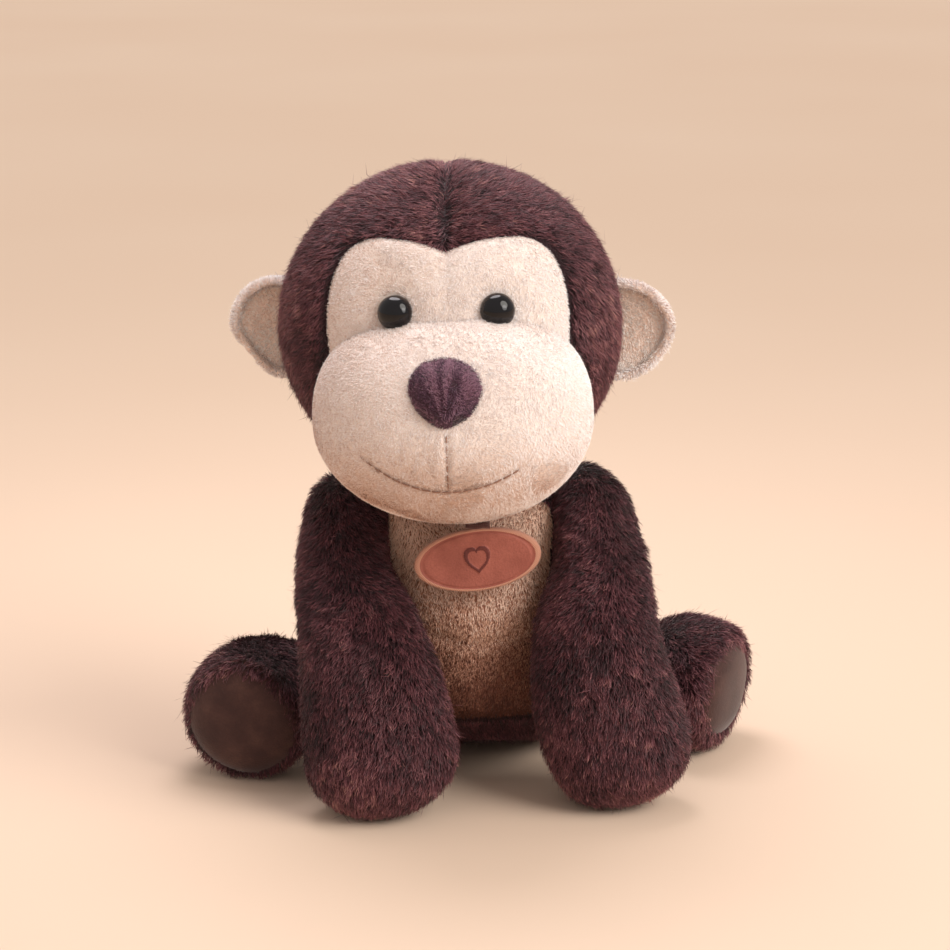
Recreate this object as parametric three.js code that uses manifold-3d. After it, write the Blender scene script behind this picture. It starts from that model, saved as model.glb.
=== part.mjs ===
// A stuffed monkey that sits on the floor, 241 mm tall. Millimetres, +Z up, the face looks along -Y, and
// +X is the monkey's left. Skins are thin fabric panels round a stuffing, with a small gap at every seam.
import * as THREE from 'three';
import { mergeVertices } from 'three/addons/utils/BufferGeometryUtils.js';
import Module from 'manifold-3d';

const wasm = await Module();
wasm.setup();

// Driving dimensions
const FABRIC = 1.8;           // thickness of a fur panel
const GAP = 0.3;              // clearance at every seam and between a skin and its stuffing
const SIDES = 12;             // facets round a limb or the torso; panels end on a facet's edge

const HEAD_RADII = [62, 54, 62];
const HEAD_CENTRE = [-7.5, 0, 179];
const HEAD_ROLL = THREE.MathUtils.degToRad(-1.6);
const HEAD_YAW = THREE.MathUtils.degToRad(-1.2);
const MUZZLE_RADII = [51.5, 45, 38.5];
const MUZZLE_CENTRE = [1, -42, -26.5];

const EYE_RADIUS = 6.2;
const EYE_SPACING = 37.4;
const EYE_HEIGHT = 15;
const STEM_RADIUS = 1.5;
const STEM_LENGTH = 9;
const WASHER_RADIUS = 7.5;
const WASHER_THICKNESS = 1.2;
const DISHING = 1.3;          // how far the brow curves away behind a flat washer

const EAR_RADII = [19.5, 10, 20.5];
const EAR_CENTRE = [65.5, 8, -4];
const EAR_FABRIC = 2;
const EAR_CLEARANCE = 2.4;    // room between the ear and the head for folding it

// Each limb starts in a ball centred on its joint, so that it turns there without touching the torso.
const SHOULDER = [50, -2, 108];
const SHOULDER_RADIUS = 14;
const SHOULDER_SEAM_X = 33.6;
const HIP = [58, 24, 26];
const HIP_RADIUS = 15;
const NECK = [-3, 2, 114];
const TAIL_ROOT = [0, 58, 19];
const TAIL_RADIUS = 7.5;
const SEAM_THREAD = 0.8;      // radius of the thread that sews on the head and the arms
const NECK_SEAM_RADIUS = 10;
const SHOULDER_SEAM_RADIUS = 8.5;

const SOLE_RADII = [19.8, 19.8];
const SOLE_THICKNESS = 1.6;
const FOOT_TURN_IN = 5;        // how far the skin of a foot turns in towards its sole
const SEAT_RADII = [30, 21];
const SEAT_Y = 22;
const PELLET_TOP = 22;
const TAG_RADII = [24, 12.2];
const TAG_THICKNESS = 2.2;
const TAG_TILT = THREE.MathUtils.degToRad(-8);
const TAG_PLACE = [2.5, -34.5, 96];
const LOOP_WIDTH = 9;
const LOOP_THICKNESS = 1.2;
const LOOP_CLEARANCE = 1.4;   // lets the tag swing up below its loop
const THREAD = 0.7;           // radius of the mouth thread
const CENTRING = [-1.4, 1.5, 0];  // puts the origin under the middle of the whole toy

const DARK_FUR = 0x4b2d32;
const CREAM = 0xf0e1d2;
const EAR_CREAM = 0xe3cdb8;
const SUEDE = 0x54393c;
const NOSE = 0x4b323c;
const TAG = 0xa55a50;
const STUFFING = 0xf4f2ee;
const THREAD_BROWN = 0xb08468;
const DARK_THREAD = 0x38211f;
const RIBBON = 0x6a4238;
const EYE_BLACK = 0x0c0b0d;
const PLASTIC = 0xf2f2f0;

// ---------------------------------------------------------------- mesh helpers

function geometryFrom(vertices, triangles) {
  const geometry = new THREE.BufferGeometry();
  geometry.setAttribute('position', new THREE.Float32BufferAttribute(vertices, 3));
  geometry.setIndex(triangles);
  return geometry;
}

function toSolid(geometry) {
  const plain = geometry.clone();
  plain.deleteAttribute('normal');
  plain.deleteAttribute('uv');
  const merged = mergeVertices(plain, 1e-4);
  const mesh = new wasm.Mesh({
    numProp: 3,
    vertProperties: new Float32Array(merged.attributes.position.array),
    triVerts: new Uint32Array(merged.index.array),
  });
  return new wasm.Manifold(mesh);
}

function toGeometry(solid) {
  const mesh = solid.getMesh();
  return geometryFrom(Array.from(mesh.vertProperties), Array.from(mesh.triVerts));
}

// Rings are lists of points. Neighbouring rings are joined by quads, seen from outside.
function quad(triangles, a, b, c, d) {
  triangles.push(a, b, c, a, c, d);
}

function flipIfInsideOut(vertices, triangles) {
  const corner = (k) => new THREE.Vector3().fromArray(vertices, 3 * k);
  let volume = 0;
  for (let k = 0; k < triangles.length; k += 3) {
    const [a, b, c] = [0, 1, 2].map((n) => corner(triangles[k + n]));
    volume += a.dot(b.cross(c));
  }
  return volume < 0 ? triangles.reverse() : triangles;
}

// ---------------------------------------------------------------- lofts
const UP = new THREE.Vector3(0, 0, 1);

// A loft is a spine with an elliptical section: points [x, y, z], sizes [across, deep] at those points,
// and a dome of the given height at each end. Its axis 'across' stays close to the given direction, and
// a level loft's sections all stay horizontal.

function loftRings(loft, inset) {
  const spine = new THREE.CatmullRomCurve3(loft.points.map((p) => new THREE.Vector3(...p)));
  const sizes = new THREE.CatmullRomCurve3(loft.sizes.map((s) => new THREE.Vector3(s[0], s[1], 0)));
  const across = new THREE.Vector3(...(loft.across ?? [1, 0, 0]));
  const rings = [];
  const add = (t, along, shrink) => {
    const tangent = loft.level ? UP : spine.getTangent(t);
    const side = across.clone().addScaledVector(tangent, -across.dot(tangent)).normalize();
    const front = new THREE.Vector3().crossVectors(tangent, side);
    const size = sizes.getPoint(t);
    rings.push({
      centre: spine.getPoint(t).addScaledVector(tangent, along),
      side: side.multiplyScalar((size.x - inset) * shrink),
      front: front.multiplyScalar((size.y - inset) * shrink),
    });
  };
  const domeSteps = 3;
  const least = 0.14;         // the open pole of a dome, as a share of its radius
  for (let k = 0; loft.startDome && k < domeSteps; k += 1) {
    const angle = least + (k / domeSteps) * (Math.PI / 2 - least);
    add(0, -(loft.startDome - inset) * Math.cos(angle), Math.sin(angle));
  }
  const steps = loft.steps ?? 7;
  for (let k = 0; k <= steps; k += 1) {
    add(k / steps, 0, 1);
  }
  for (let k = domeSteps - 1; loft.endDome && k >= 0; k -= 1) {
    const angle = least + (k / domeSteps) * (Math.PI / 2 - least);
    add(1, (loft.endDome - inset) * Math.cos(angle), Math.sin(angle));
  }
  return rings;
}

function onRing(ring, angle) {
  return ring.centre.clone()
    .addScaledVector(ring.side, Math.cos(angle))
    .addScaledVector(ring.front, Math.sin(angle));
}

// The filled loft, closed by a flat facet at each end, without its last few rings.
function filledLoft(loft, inset, unfilledRings = 0) {
  const rings = loftRings(loft, inset);
  rings.length -= unfilledRings;
  const vertices = [];
  const triangles = [];
  for (const ring of rings) {
    for (let k = 0; k < SIDES; k += 1) {
      vertices.push(...onRing(ring, (2 * Math.PI * k) / SIDES).toArray());
    }
  }
  for (let r = 0; r + 1 < rings.length; r += 1) {
    for (let k = 0; k < SIDES; k += 1) {
      const next = (k + 1) % SIDES;
      quad(triangles, r * SIDES + k, r * SIDES + next, (r + 1) * SIDES + next, (r + 1) * SIDES + k);
    }
  }
  const last = (rings.length - 1) * SIDES;
  for (let k = 1; k + 1 < SIDES; k += 1) {
    triangles.push(0, k + 1, k);
    triangles.push(last, last + k, last + k + 1);
  }
  return geometryFrom(vertices, flipIfInsideOut(vertices, triangles));
}

// One fabric panel of a loft, between two angles round the section, open at both poles.
function panel(loft, from, to) {
  const [outer, inner] = [loftRings(loft, 0), loftRings(loft, FABRIC)];
  const columns = Math.max(2, Math.round(((to - from) / (2 * Math.PI)) * SIDES));
  const vertices = [];
  const triangles = [];
  for (const rings of [outer, inner]) {
    for (const ring of rings) {
      const least = Math.min(ring.side.length(), ring.front.length());
      const margin = Math.min(GAP / 2 / least, 0.06);
      for (let k = 0; k <= columns; k += 1) {
        const angle = from + margin + (k / columns) * (to - from - 2 * margin);
        vertices.push(...onRing(ring, angle).toArray());
      }
    }
  }
  const width = columns + 1;
  const inside = outer.length * width;
  for (let r = 0; r + 1 < outer.length; r += 1) {
    for (let k = 0; k < columns; k += 1) {
      const a = r * width + k;
      quad(triangles, a, a + 1, a + width + 1, a + width);
      quad(triangles, inside + a, inside + a + width, inside + a + width + 1, inside + a + 1);
    }
    for (const [a, b] of [[r * width, (r + 1) * width], [(r + 2) * width - 1, (r + 1) * width - 1]]) {
      quad(triangles, a, b, inside + b, inside + a);
    }
  }
  const end = (outer.length - 1) * width;
  for (let k = 0; k < columns; k += 1) {
    quad(triangles, k + 1, k, inside + k, inside + k + 1);
    quad(triangles, end + k, end + k + 1, inside + end + k + 1, inside + end + k);
  }
  return geometryFrom(vertices, flipIfInsideOut(vertices, triangles));
}

// ---------------------------------------------------------------- shapes for the head

function ellipsoid(radii, centre = [0, 0, 0], columns = 22, rows = 14) {
  const geometry = new THREE.SphereGeometry(1, columns, rows);
  geometry.rotateX(Math.PI / 2);
  geometry.scale(...radii);
  geometry.translate(...centre);
  return toSolid(geometry);
}

const grown = (radii, by) => radii.map((r) => r + by);

function box(from, to) {
  const size = to.map((v, k) => v - from[k]);
  const geometry = new THREE.BoxGeometry(...size);
  geometry.translate(...from.map((v, k) => v + size[k] / 2));
  return toSolid(geometry);
}

// A prism along -Y from the head's middle, with its outline in X and Z.
function prismForward(shape, depth, curveSegments = 8) {
  const geometry = new THREE.ExtrudeGeometry(shape, { depth, bevelEnabled: false, curveSegments });
  geometry.rotateX(Math.PI / 2);
  return toSolid(geometry);
}

function browShape(grow) {
  const side = 46 + grow;
  const top = 38 + grow;
  const notch = 31 + grow;
  const low = -20 - grow;
  const shape = new THREE.Shape();
  shape.moveTo(-side + 3, low);
  shape.bezierCurveTo(-side - 2, 12, -side + 2, top, -24, top);
  shape.bezierCurveTo(-10, top, -5, notch + 3, 0, notch);
  shape.bezierCurveTo(5, notch + 3, 10, top, 24, top);
  shape.bezierCurveTo(side - 2, top, side + 2, 12, side - 3, low);
  shape.closePath();
  return shape;
}

function noseShape() {
  const shape = new THREE.Shape();
  shape.moveTo(0, -12);
  shape.bezierCurveTo(7, -12, 14, 0, 13.5, 5);
  shape.bezierCurveTo(13, 11, 7, 12, 0, 12);
  shape.bezierCurveTo(-7, 12, -13, 11, -13.5, 5);
  shape.bezierCurveTo(-14, 0, -7, -12, 0, -12);
  return shape;
}

// The height of an ellipsoid's front surface over a point of its X-Z plane.
function frontOf(radii, centre, x, z) {
  const rest = 1 - ((x - centre[0]) / radii[0]) ** 2 - ((z - centre[2]) / radii[2]) ** 2;
  return centre[1] - radii[1] * Math.sqrt(Math.max(rest, 0));
}

function threadAlong(points) {
  const route = new THREE.CatmullRomCurve3(points.map((p) => new THREE.Vector3(...p)));
  const section = new THREE.Shape();
  section.absarc(0, 0, THREAD, 0, 2 * Math.PI, false);
  const geometry = new THREE.ExtrudeGeometry(section, { steps: 10, curveSegments: 2, extrudePath: route });
  return toGeometry(toSolid(geometry));
}

// ---------------------------------------------------------------- scene graph

const monkey = new THREE.Group();
monkey.position.set(...CENTRING);
const head = new THREE.Group();
head.position.set(...HEAD_CENTRE);
head.rotation.set(0, HEAD_ROLL, HEAD_YAW);
monkey.add(head);

function addMesh(parent, name, geometry, color, roughness = 0.95) {
  const material = new THREE.MeshStandardMaterial({ color, roughness, metalness: 0 });
  const mesh = new THREE.Mesh(geometry, material);
  mesh.name = name;
  parent.add(mesh);
  return mesh;
}

// ---------------------------------------------------------------- head

// The eye's own frame: its axis is +Z, and its flat back touches the panel.
const eyeProfile = [
  [0, -STEM_LENGTH], [STEM_RADIUS, -STEM_LENGTH], [STEM_RADIUS, 0], [EYE_RADIUS - 0.6, 0], [EYE_RADIUS, 0.8],
  [EYE_RADIUS * 0.93, 2.2], [EYE_RADIUS * 0.72, 3.7], [EYE_RADIUS * 0.4, 4.8], [0, 5.2],
].map((p) => new THREE.Vector2(...p));

function ringProfile(inner, outer, thickness) {
  const corners = [[inner, 0], [outer, 0], [outer, thickness], [inner, thickness], [inner, 0]];
  return corners.map((p) => new THREE.Vector2(...p));
}

function latheZ(profile, segments) {
  return new THREE.LatheGeometry(profile, segments).rotateX(Math.PI / 2);
}

function eyePlace(side) {
  const x = (side * EYE_SPACING) / 2;
  const y = frontOf(HEAD_RADII, [0, 0, 0], x, EYE_HEIGHT);
  const [a, b, c] = HEAD_RADII;
  const normal = new THREE.Vector3(x / a ** 2, y / b ** 2, EYE_HEIGHT / c ** 2).normalize();
  const place = new THREE.Object3D();
  place.position.set(x, y, EYE_HEIGHT).addScaledVector(normal, 2 * GAP);
  place.quaternion.setFromUnitVectors(new THREE.Vector3(0, 0, 1), normal);
  return place;
}

function placed(geometry, place, along = 0) {
  place.updateMatrix();
  return geometry.clone().translate(0, 0, along).applyMatrix4(place.matrix);
}

function cylinderZ(radius, from, to) {
  return new THREE.CylinderGeometry(radius, radius, to - from, 12).rotateX(Math.PI / 2)
    .translate(0, 0, (from + to) / 2);
}

function buildHead() {
  const shell = ellipsoid(HEAD_RADII).subtract(ellipsoid(grown(HEAD_RADII, -FABRIC)));
  const muzzle = ellipsoid(MUZZLE_RADII, MUZZLE_CENTRE);
  const muzzleRoom = ellipsoid(grown(MUZZLE_RADII, GAP), MUZZLE_CENTRE);
  const openShell = shell.subtract(muzzleRoom);
  const washerDepth = FABRIC + 2 * GAP + DISHING + WASHER_THICKNESS;

  let brow = openShell.intersect(prismForward(browShape(-GAP), 90));
  let stuffing = ellipsoid(grown(HEAD_RADII, -FABRIC - GAP))
    .add(ellipsoid(grown(MUZZLE_RADII, -FABRIC - GAP), MUZZLE_CENTRE));
  for (const [side, name] of [[-1, 'right'], [1, 'left']]) {
    const place = eyePlace(side);
    addMesh(head, `eye_${name}`, placed(latheZ(eyeProfile, 14), place), EYE_BLACK, 0.08);
    const washer = latheZ(ringProfile(STEM_RADIUS + GAP, WASHER_RADIUS, WASHER_THICKNESS), 12);
    addMesh(head, `eye_washer_${name}`, placed(washer, place, -washerDepth), PLASTIC, 0.4);
    const stemHole = placed(cylinderZ(STEM_RADIUS + GAP, -STEM_LENGTH - GAP, 10), place);
    const washerRoom = placed(cylinderZ(WASHER_RADIUS + GAP, -washerDepth - GAP, 10), place);
    brow = brow.subtract(toSolid(stemHole));
    stuffing = stuffing.subtract(toSolid(stemHole)).subtract(toSolid(washerRoom));
  }
  addMesh(head, 'brow_panel', toGeometry(brow), CREAM);

  const furCap = openShell.subtract(prismForward(browShape(0), 90));
  const far = 200;
  const halves = [
    ['head_panel_right', box([-far, -far, -far], [-GAP / 2, far, far])],
    ['head_panel_left', box([GAP / 2, -far, -far], [far, far, far])],
  ];
  for (const [name, half] of halves) {
    addMesh(head, name, toGeometry(furCap.intersect(half)), DARK_FUR);
  }

  const muzzleCover = muzzle
    .subtract(ellipsoid(grown(MUZZLE_RADII, -FABRIC), MUZZLE_CENTRE))
    .subtract(ellipsoid(grown(HEAD_RADII, GAP)));
  addMesh(head, 'muzzle_cover', toGeometry(muzzleCover), CREAM);
  addMesh(head, 'head_stuffing', toGeometry(stuffing), STUFFING);
  buildNoseAndMouth(muzzleRoom);
}

function buildNoseAndMouth(muzzleRoom) {
  const centreX = MUZZLE_CENTRE[0] - 1;
  const noseHeight = -8;
  const noseFront = frontOf(MUZZLE_RADII, MUZZLE_CENTRE, centreX, noseHeight);
  const bevel = { bevelEnabled: true, bevelThickness: 4, bevelSize: 4, bevelOffset: -4, bevelSegments: 3 };
  const pad = new THREE.ExtrudeGeometry(noseShape(), { depth: 8, curveSegments: 4, ...bevel });
  pad.rotateX(Math.PI / 2).translate(centreX, noseFront + 6, noseHeight);
  addMesh(head, 'nose', toGeometry(toSolid(pad).subtract(muzzleRoom)), NOSE);

  const proud = grown(MUZZLE_RADII, THREAD + 2 * GAP);
  const onMuzzle = (x, z) => [x, frontOf(proud, MUZZLE_CENTRE, x, z), z];
  const smileHalf = 27;
  const smileLow = -47;
  const smileRise = 12;
  const smile = [];
  for (let k = -4; k <= 4; k += 1) {
    const x = (k / 4) * smileHalf;
    smile.push(onMuzzle(centreX + x, smileLow + smileRise * (x / smileHalf) ** 2));
  }
  addMesh(head, 'mouth_thread', threadAlong(smile), THREAD_BROWN);
  const philtrum = [-25, -32, -38, smileLow + 2.5].map((z) => onMuzzle(centreX, z));
  addMesh(head, 'nose_seam_thread', threadAlong(philtrum), THREAD_BROWN);
}

// An ear is two cupped layers, hollow to the front, cut clear of the head.
function buildEar(side, name) {
  const centre = [side * EAR_CENTRE[0], EAR_CENTRE[1], EAR_CENTRE[2]];
  const seam = EAR_FABRIC + GAP;
  const layers = [[`ear_back_${name}`, 0], [`ear_lining_${name}`, seam]];
  const behind = box([-120, centre[1], -80], [120, centre[1] + 60, 80]);
  const headRoom = ellipsoid(grown(HEAD_RADII, EAR_CLEARANCE));
  for (const [node, depth] of layers) {
    const bowl = ellipsoid(grown(EAR_RADII, -depth), centre, 14, 10)
      .subtract(ellipsoid(grown(EAR_RADII, -depth - EAR_FABRIC), centre, 14, 10));
    addMesh(head, node, toGeometry(bowl.intersect(behind).subtract(headRoom)), EAR_CREAM);
  }
}

// ---------------------------------------------------------------- torso

const torsoLoft = {
  points: [[0, 22, 0], [0, 20, 9], [0, 13, 25], [0, 7.5, 44], [0, 5.5, 62], [0, 3.5, 80], [0, 1, 95], [0, 0, 104]],
  sizes: [[33, 24], [40, 30], [44, 35.5], [45, 36], [43, 33], [39, 30], [33.5, 26], [27.5, 21]],
  endDome: 8,
  level: true,
  steps: 9,
};

function buildTorso() {
  const front = THREE.MathUtils.degToRad(270);
  const bellyHalf = THREE.MathUtils.degToRad(60);
  const back = front - Math.PI;
  addMesh(monkey, 'belly_panel', panel(torsoLoft, front - bellyHalf, front + bellyHalf), CREAM);
  addMesh(monkey, 'torso_panel_left', panel(torsoLoft, front + bellyHalf - 2 * Math.PI, back), DARK_FUR);
  addMesh(monkey, 'torso_panel_right', panel(torsoLoft, back, front - bellyHalf), DARK_FUR);

  const seat = new THREE.CylinderGeometry(1, 1, FABRIC, 24).rotateX(Math.PI / 2);
  seat.scale(SEAT_RADII[0], SEAT_RADII[1], 1).translate(0, SEAT_Y, FABRIC / 2);
  addMesh(monkey, 'seat_panel', seat, DARK_FUR);

  const inside = toSolid(filledLoft(torsoLoft, FABRIC + GAP));
  const above = box([-90, -90, PELLET_TOP + GAP], [90, 90, 150]);
  addMesh(monkey, 'torso_stuffing', toGeometry(inside.intersect(above)), STUFFING);
  const below = box([-90, -90, FABRIC + GAP], [90, 90, PELLET_TOP]);
  addMesh(monkey, 'pellet_bag', toGeometry(inside.intersect(below)), STUFFING);
}

function seamRing(radius) {
  return new THREE.TorusGeometry(radius, SEAM_THREAD, 5, 14);
}

// ---------------------------------------------------------------- arms, legs and tail

const mirrored = ([x, y, z]) => [-x, y, z];
const round = (radius) => [radius, radius];

const armLofts = {
  right: {
    points: [mirrored(SHOULDER), [-49, -20, 88], [-40.5, -40, 62], [-36, -46.5, 38], [-33.5, -49.5, 22]],
    sizes: [round(SHOULDER_RADIUS), [17.5, 15], [25, 18.5], [28.5, 21], [29, 22]],
    startDome: SHOULDER_RADIUS,
    endDome: 21.6,
  },
  left: {
    points: [SHOULDER, [49.8, -20, 88], [47.5, -37.5, 62], [52, -39, 38], [57, -39, 22]],
    sizes: [round(SHOULDER_RADIUS), [18.2, 15], [25.2, 18.5], [28, 20.5], [27.5, 21.5]],
    startDome: SHOULDER_RADIUS,
    endDome: 21.6,
  },
};

const legLofts = {
  right: {
    points: [mirrored(HIP), [-71.5, 17, 26.5], [-83.8, 1.8, 27], [-87.4, -14.5, 26]],
    sizes: [round(HIP_RADIUS), [20, 20], [26, 26], [25.5, 25.5]],
    startDome: HIP_RADIUS,
    across: [0, 0, 1],
  },
  left: {
    points: [HIP, [73, 28, 26.5], [86.5, 26.5, 27.5], [97.5, 20, 26.5]],
    sizes: [round(HIP_RADIUS), [21, 20], [27, 26], [26, 25.5]],
    startDome: HIP_RADIUS,
    across: [0, 0, 1],
  },
};

const tailLoft = {
  points: [TAIL_ROOT, [5, 66, 14], [15, 73, 10], [29, 76.5, 9], [43, 74, 9]],
  sizes: [TAIL_RADIUS, TAIL_RADIUS, 8, 8.5, 8.5].map(round),
  startDome: TAIL_RADIUS,
  endDome: 8.5,
  across: [0, 0, 1],
  steps: 7,
};

function addLimb(name, loft, halves, unfilledRings = 0) {
  const [first, second] = halves;
  addMesh(monkey, `${name}_panel_${first}`, panel(loft, 0, Math.PI), DARK_FUR);
  addMesh(monkey, `${name}_panel_${second}`, panel(loft, Math.PI, 2 * Math.PI), DARK_FUR);
  addMesh(monkey, `${name}_stuffing`, filledLoft(loft, FABRIC + GAP, unfilledRings), STUFFING);
}

// The sole closes the end of a foot: the skin's last ring turns in towards it.
function addFoot(side, loft) {
  const spine = new THREE.CatmullRomCurve3(loft.points.map((p) => new THREE.Vector3(...p)));
  const tangent = spine.getTangent(1);
  const sole = new THREE.CylinderGeometry(1, 1, SOLE_THICKNESS, 24).rotateX(Math.PI / 2);
  sole.scale(SOLE_RADII[0], SOLE_RADII[1], 1);
  const mesh = addMesh(monkey, `sole_pad_${side}`, sole, SUEDE, 0.85);
  mesh.position.copy(spine.getPoint(1)).addScaledVector(tangent, FOOT_TURN_IN);
  mesh.quaternion.setFromUnitVectors(new THREE.Vector3(0, 0, 1), tangent);
}

// A foot's end is a dome that stops at the sole's rim.
function withFootEnd(loft) {
  const spine = new THREE.CatmullRomCurve3(loft.points.map((p) => new THREE.Vector3(...p)));
  const tangent = spine.getTangent(1);
  const last = spine.getPoint(1);
  const points = [...loft.points];
  const sizes = [...loft.sizes];
  const end = loft.sizes.at(-1);
  for (const [along, shrink] of [[3, 0.965], [FOOT_TURN_IN, 0.88]]) {
    points.push(last.clone().addScaledVector(tangent, along).toArray());
    sizes.push(end.map((r) => r * shrink));
  }
  return { ...loft, points, sizes, steps: 10 };
}

function buildLimbs() {
  for (const [side, sign] of [['right', -1], ['left', 1]]) {
    addLimb(`arm_${side}`, armLofts[side], ['front', 'back']);
    const ring = addMesh(monkey, `shoulder_seam_${side}`, seamRing(SHOULDER_SEAM_RADIUS), DARK_THREAD);
    ring.position.set(sign * SHOULDER_SEAM_X, SHOULDER[1], SHOULDER[2]);
    ring.rotation.y = Math.PI / 2;
    addLimb(`leg_${side}`, withFootEnd(legLofts[side]), ['lower', 'upper'], 2);
    addFoot(side, legLofts[side]);
  }
  addLimb('tail', tailLoft, ['upper', 'lower']);
}

// ---------------------------------------------------------------- tag

function buildTag() {
  const outline = new THREE.Shape();
  outline.absellipse(0, 0, TAG_RADII[0], TAG_RADII[1], 0, 2 * Math.PI, false, 0);
  const bevel = { bevelEnabled: true, bevelThickness: 0.5, bevelSize: 0.5, bevelOffset: -0.5, bevelSegments: 1 };
  const plate = new THREE.ExtrudeGeometry(outline, { depth: TAG_THICKNESS - 1, curveSegments: 12, ...bevel });
  plate.translate(0, 0, 0.5 - TAG_THICKNESS / 2).rotateX(Math.PI / 2);
  const tag = addMesh(monkey, 'tag', plate, TAG, 0.6);
  tag.position.set(...TAG_PLACE);
  tag.rotation.y = TAG_TILT;

  // the loop is flat ribbon from the chest to just above the tag's top edge
  const loopBack = -23.5;
  const loopBottom = TAG_PLACE[2] + TAG_RADII[1] + LOOP_CLEARANCE;
  const loopLength = loopBack - TAG_PLACE[1] + TAG_THICKNESS / 2;
  const loop = new THREE.BoxGeometry(LOOP_WIDTH, loopLength, LOOP_THICKNESS);
  loop.translate(TAG_PLACE[0], loopBack - loopLength / 2, loopBottom + LOOP_THICKNESS / 2);
  addMesh(monkey, 'tag_loop', loop, RIBBON);
}

buildHead();
buildEar(-1, 'right');
buildEar(1, 'left');
buildTorso();
buildLimbs();
buildTag();
addMesh(monkey, 'neck_seam', seamRing(NECK_SEAM_RADIUS), DARK_THREAD).position.set(...NECK);

export default monkey;
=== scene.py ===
"""A stuffed toy monkey, seated: padded skins with a pile of single strands, a short-pile face, glossy eyes,
suede soles and an oval tag. Metres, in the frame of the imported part: +Z up, the face looks along -Y."""

import math

import bmesh
import bpy
import numpy as np
from mathutils import Matrix, Vector
from mathutils.kdtree import KDTree


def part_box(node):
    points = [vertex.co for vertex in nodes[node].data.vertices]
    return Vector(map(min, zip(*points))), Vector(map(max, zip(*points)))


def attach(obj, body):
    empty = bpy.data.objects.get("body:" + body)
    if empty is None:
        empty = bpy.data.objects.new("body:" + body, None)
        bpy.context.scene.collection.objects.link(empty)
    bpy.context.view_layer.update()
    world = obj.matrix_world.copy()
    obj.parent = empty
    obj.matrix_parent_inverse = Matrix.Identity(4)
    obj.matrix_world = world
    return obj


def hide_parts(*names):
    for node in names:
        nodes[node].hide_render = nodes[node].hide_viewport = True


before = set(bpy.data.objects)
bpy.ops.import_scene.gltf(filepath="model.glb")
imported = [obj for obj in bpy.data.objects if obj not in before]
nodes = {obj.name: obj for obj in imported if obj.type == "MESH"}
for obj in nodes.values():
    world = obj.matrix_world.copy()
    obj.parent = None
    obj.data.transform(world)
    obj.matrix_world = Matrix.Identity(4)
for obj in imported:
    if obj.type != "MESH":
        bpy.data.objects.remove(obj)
bpy.context.view_layer.update()
MM = 0.001


# ---- camera

CAMERA_TARGET = Vector((0.0001, 0.0015, 0.1195))
CAMERA_DISTANCE = 1.1
CAMERA_ELEVATION = math.radians(15)
CAMERA_LENS = 108.3

camera = bpy.data.objects.new("camera", bpy.data.cameras.new("camera"))
bpy.context.scene.collection.objects.link(camera)
away = Vector((0, -math.cos(CAMERA_ELEVATION), math.sin(CAMERA_ELEVATION)))
camera.location = CAMERA_TARGET + away * CAMERA_DISTANCE
camera.rotation_euler = (-away).to_track_quat("-Z", "Y").to_euler()
camera.data.lens = CAMERA_LENS
camera.data.sensor_width = 36
camera.data.clip_end = 20
bpy.context.scene.camera = camera


# ---- materials

def linear(r, g, b):
    """An sRGB colour given as 0 to 255, as linear numbers with alpha."""
    def one(c):
        c /= 255
        return c / 12.92 if c <= 0.04045 else ((c + 0.055) / 1.055) ** 2.4
    return (one(r), one(g), one(b), 1.0)


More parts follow.
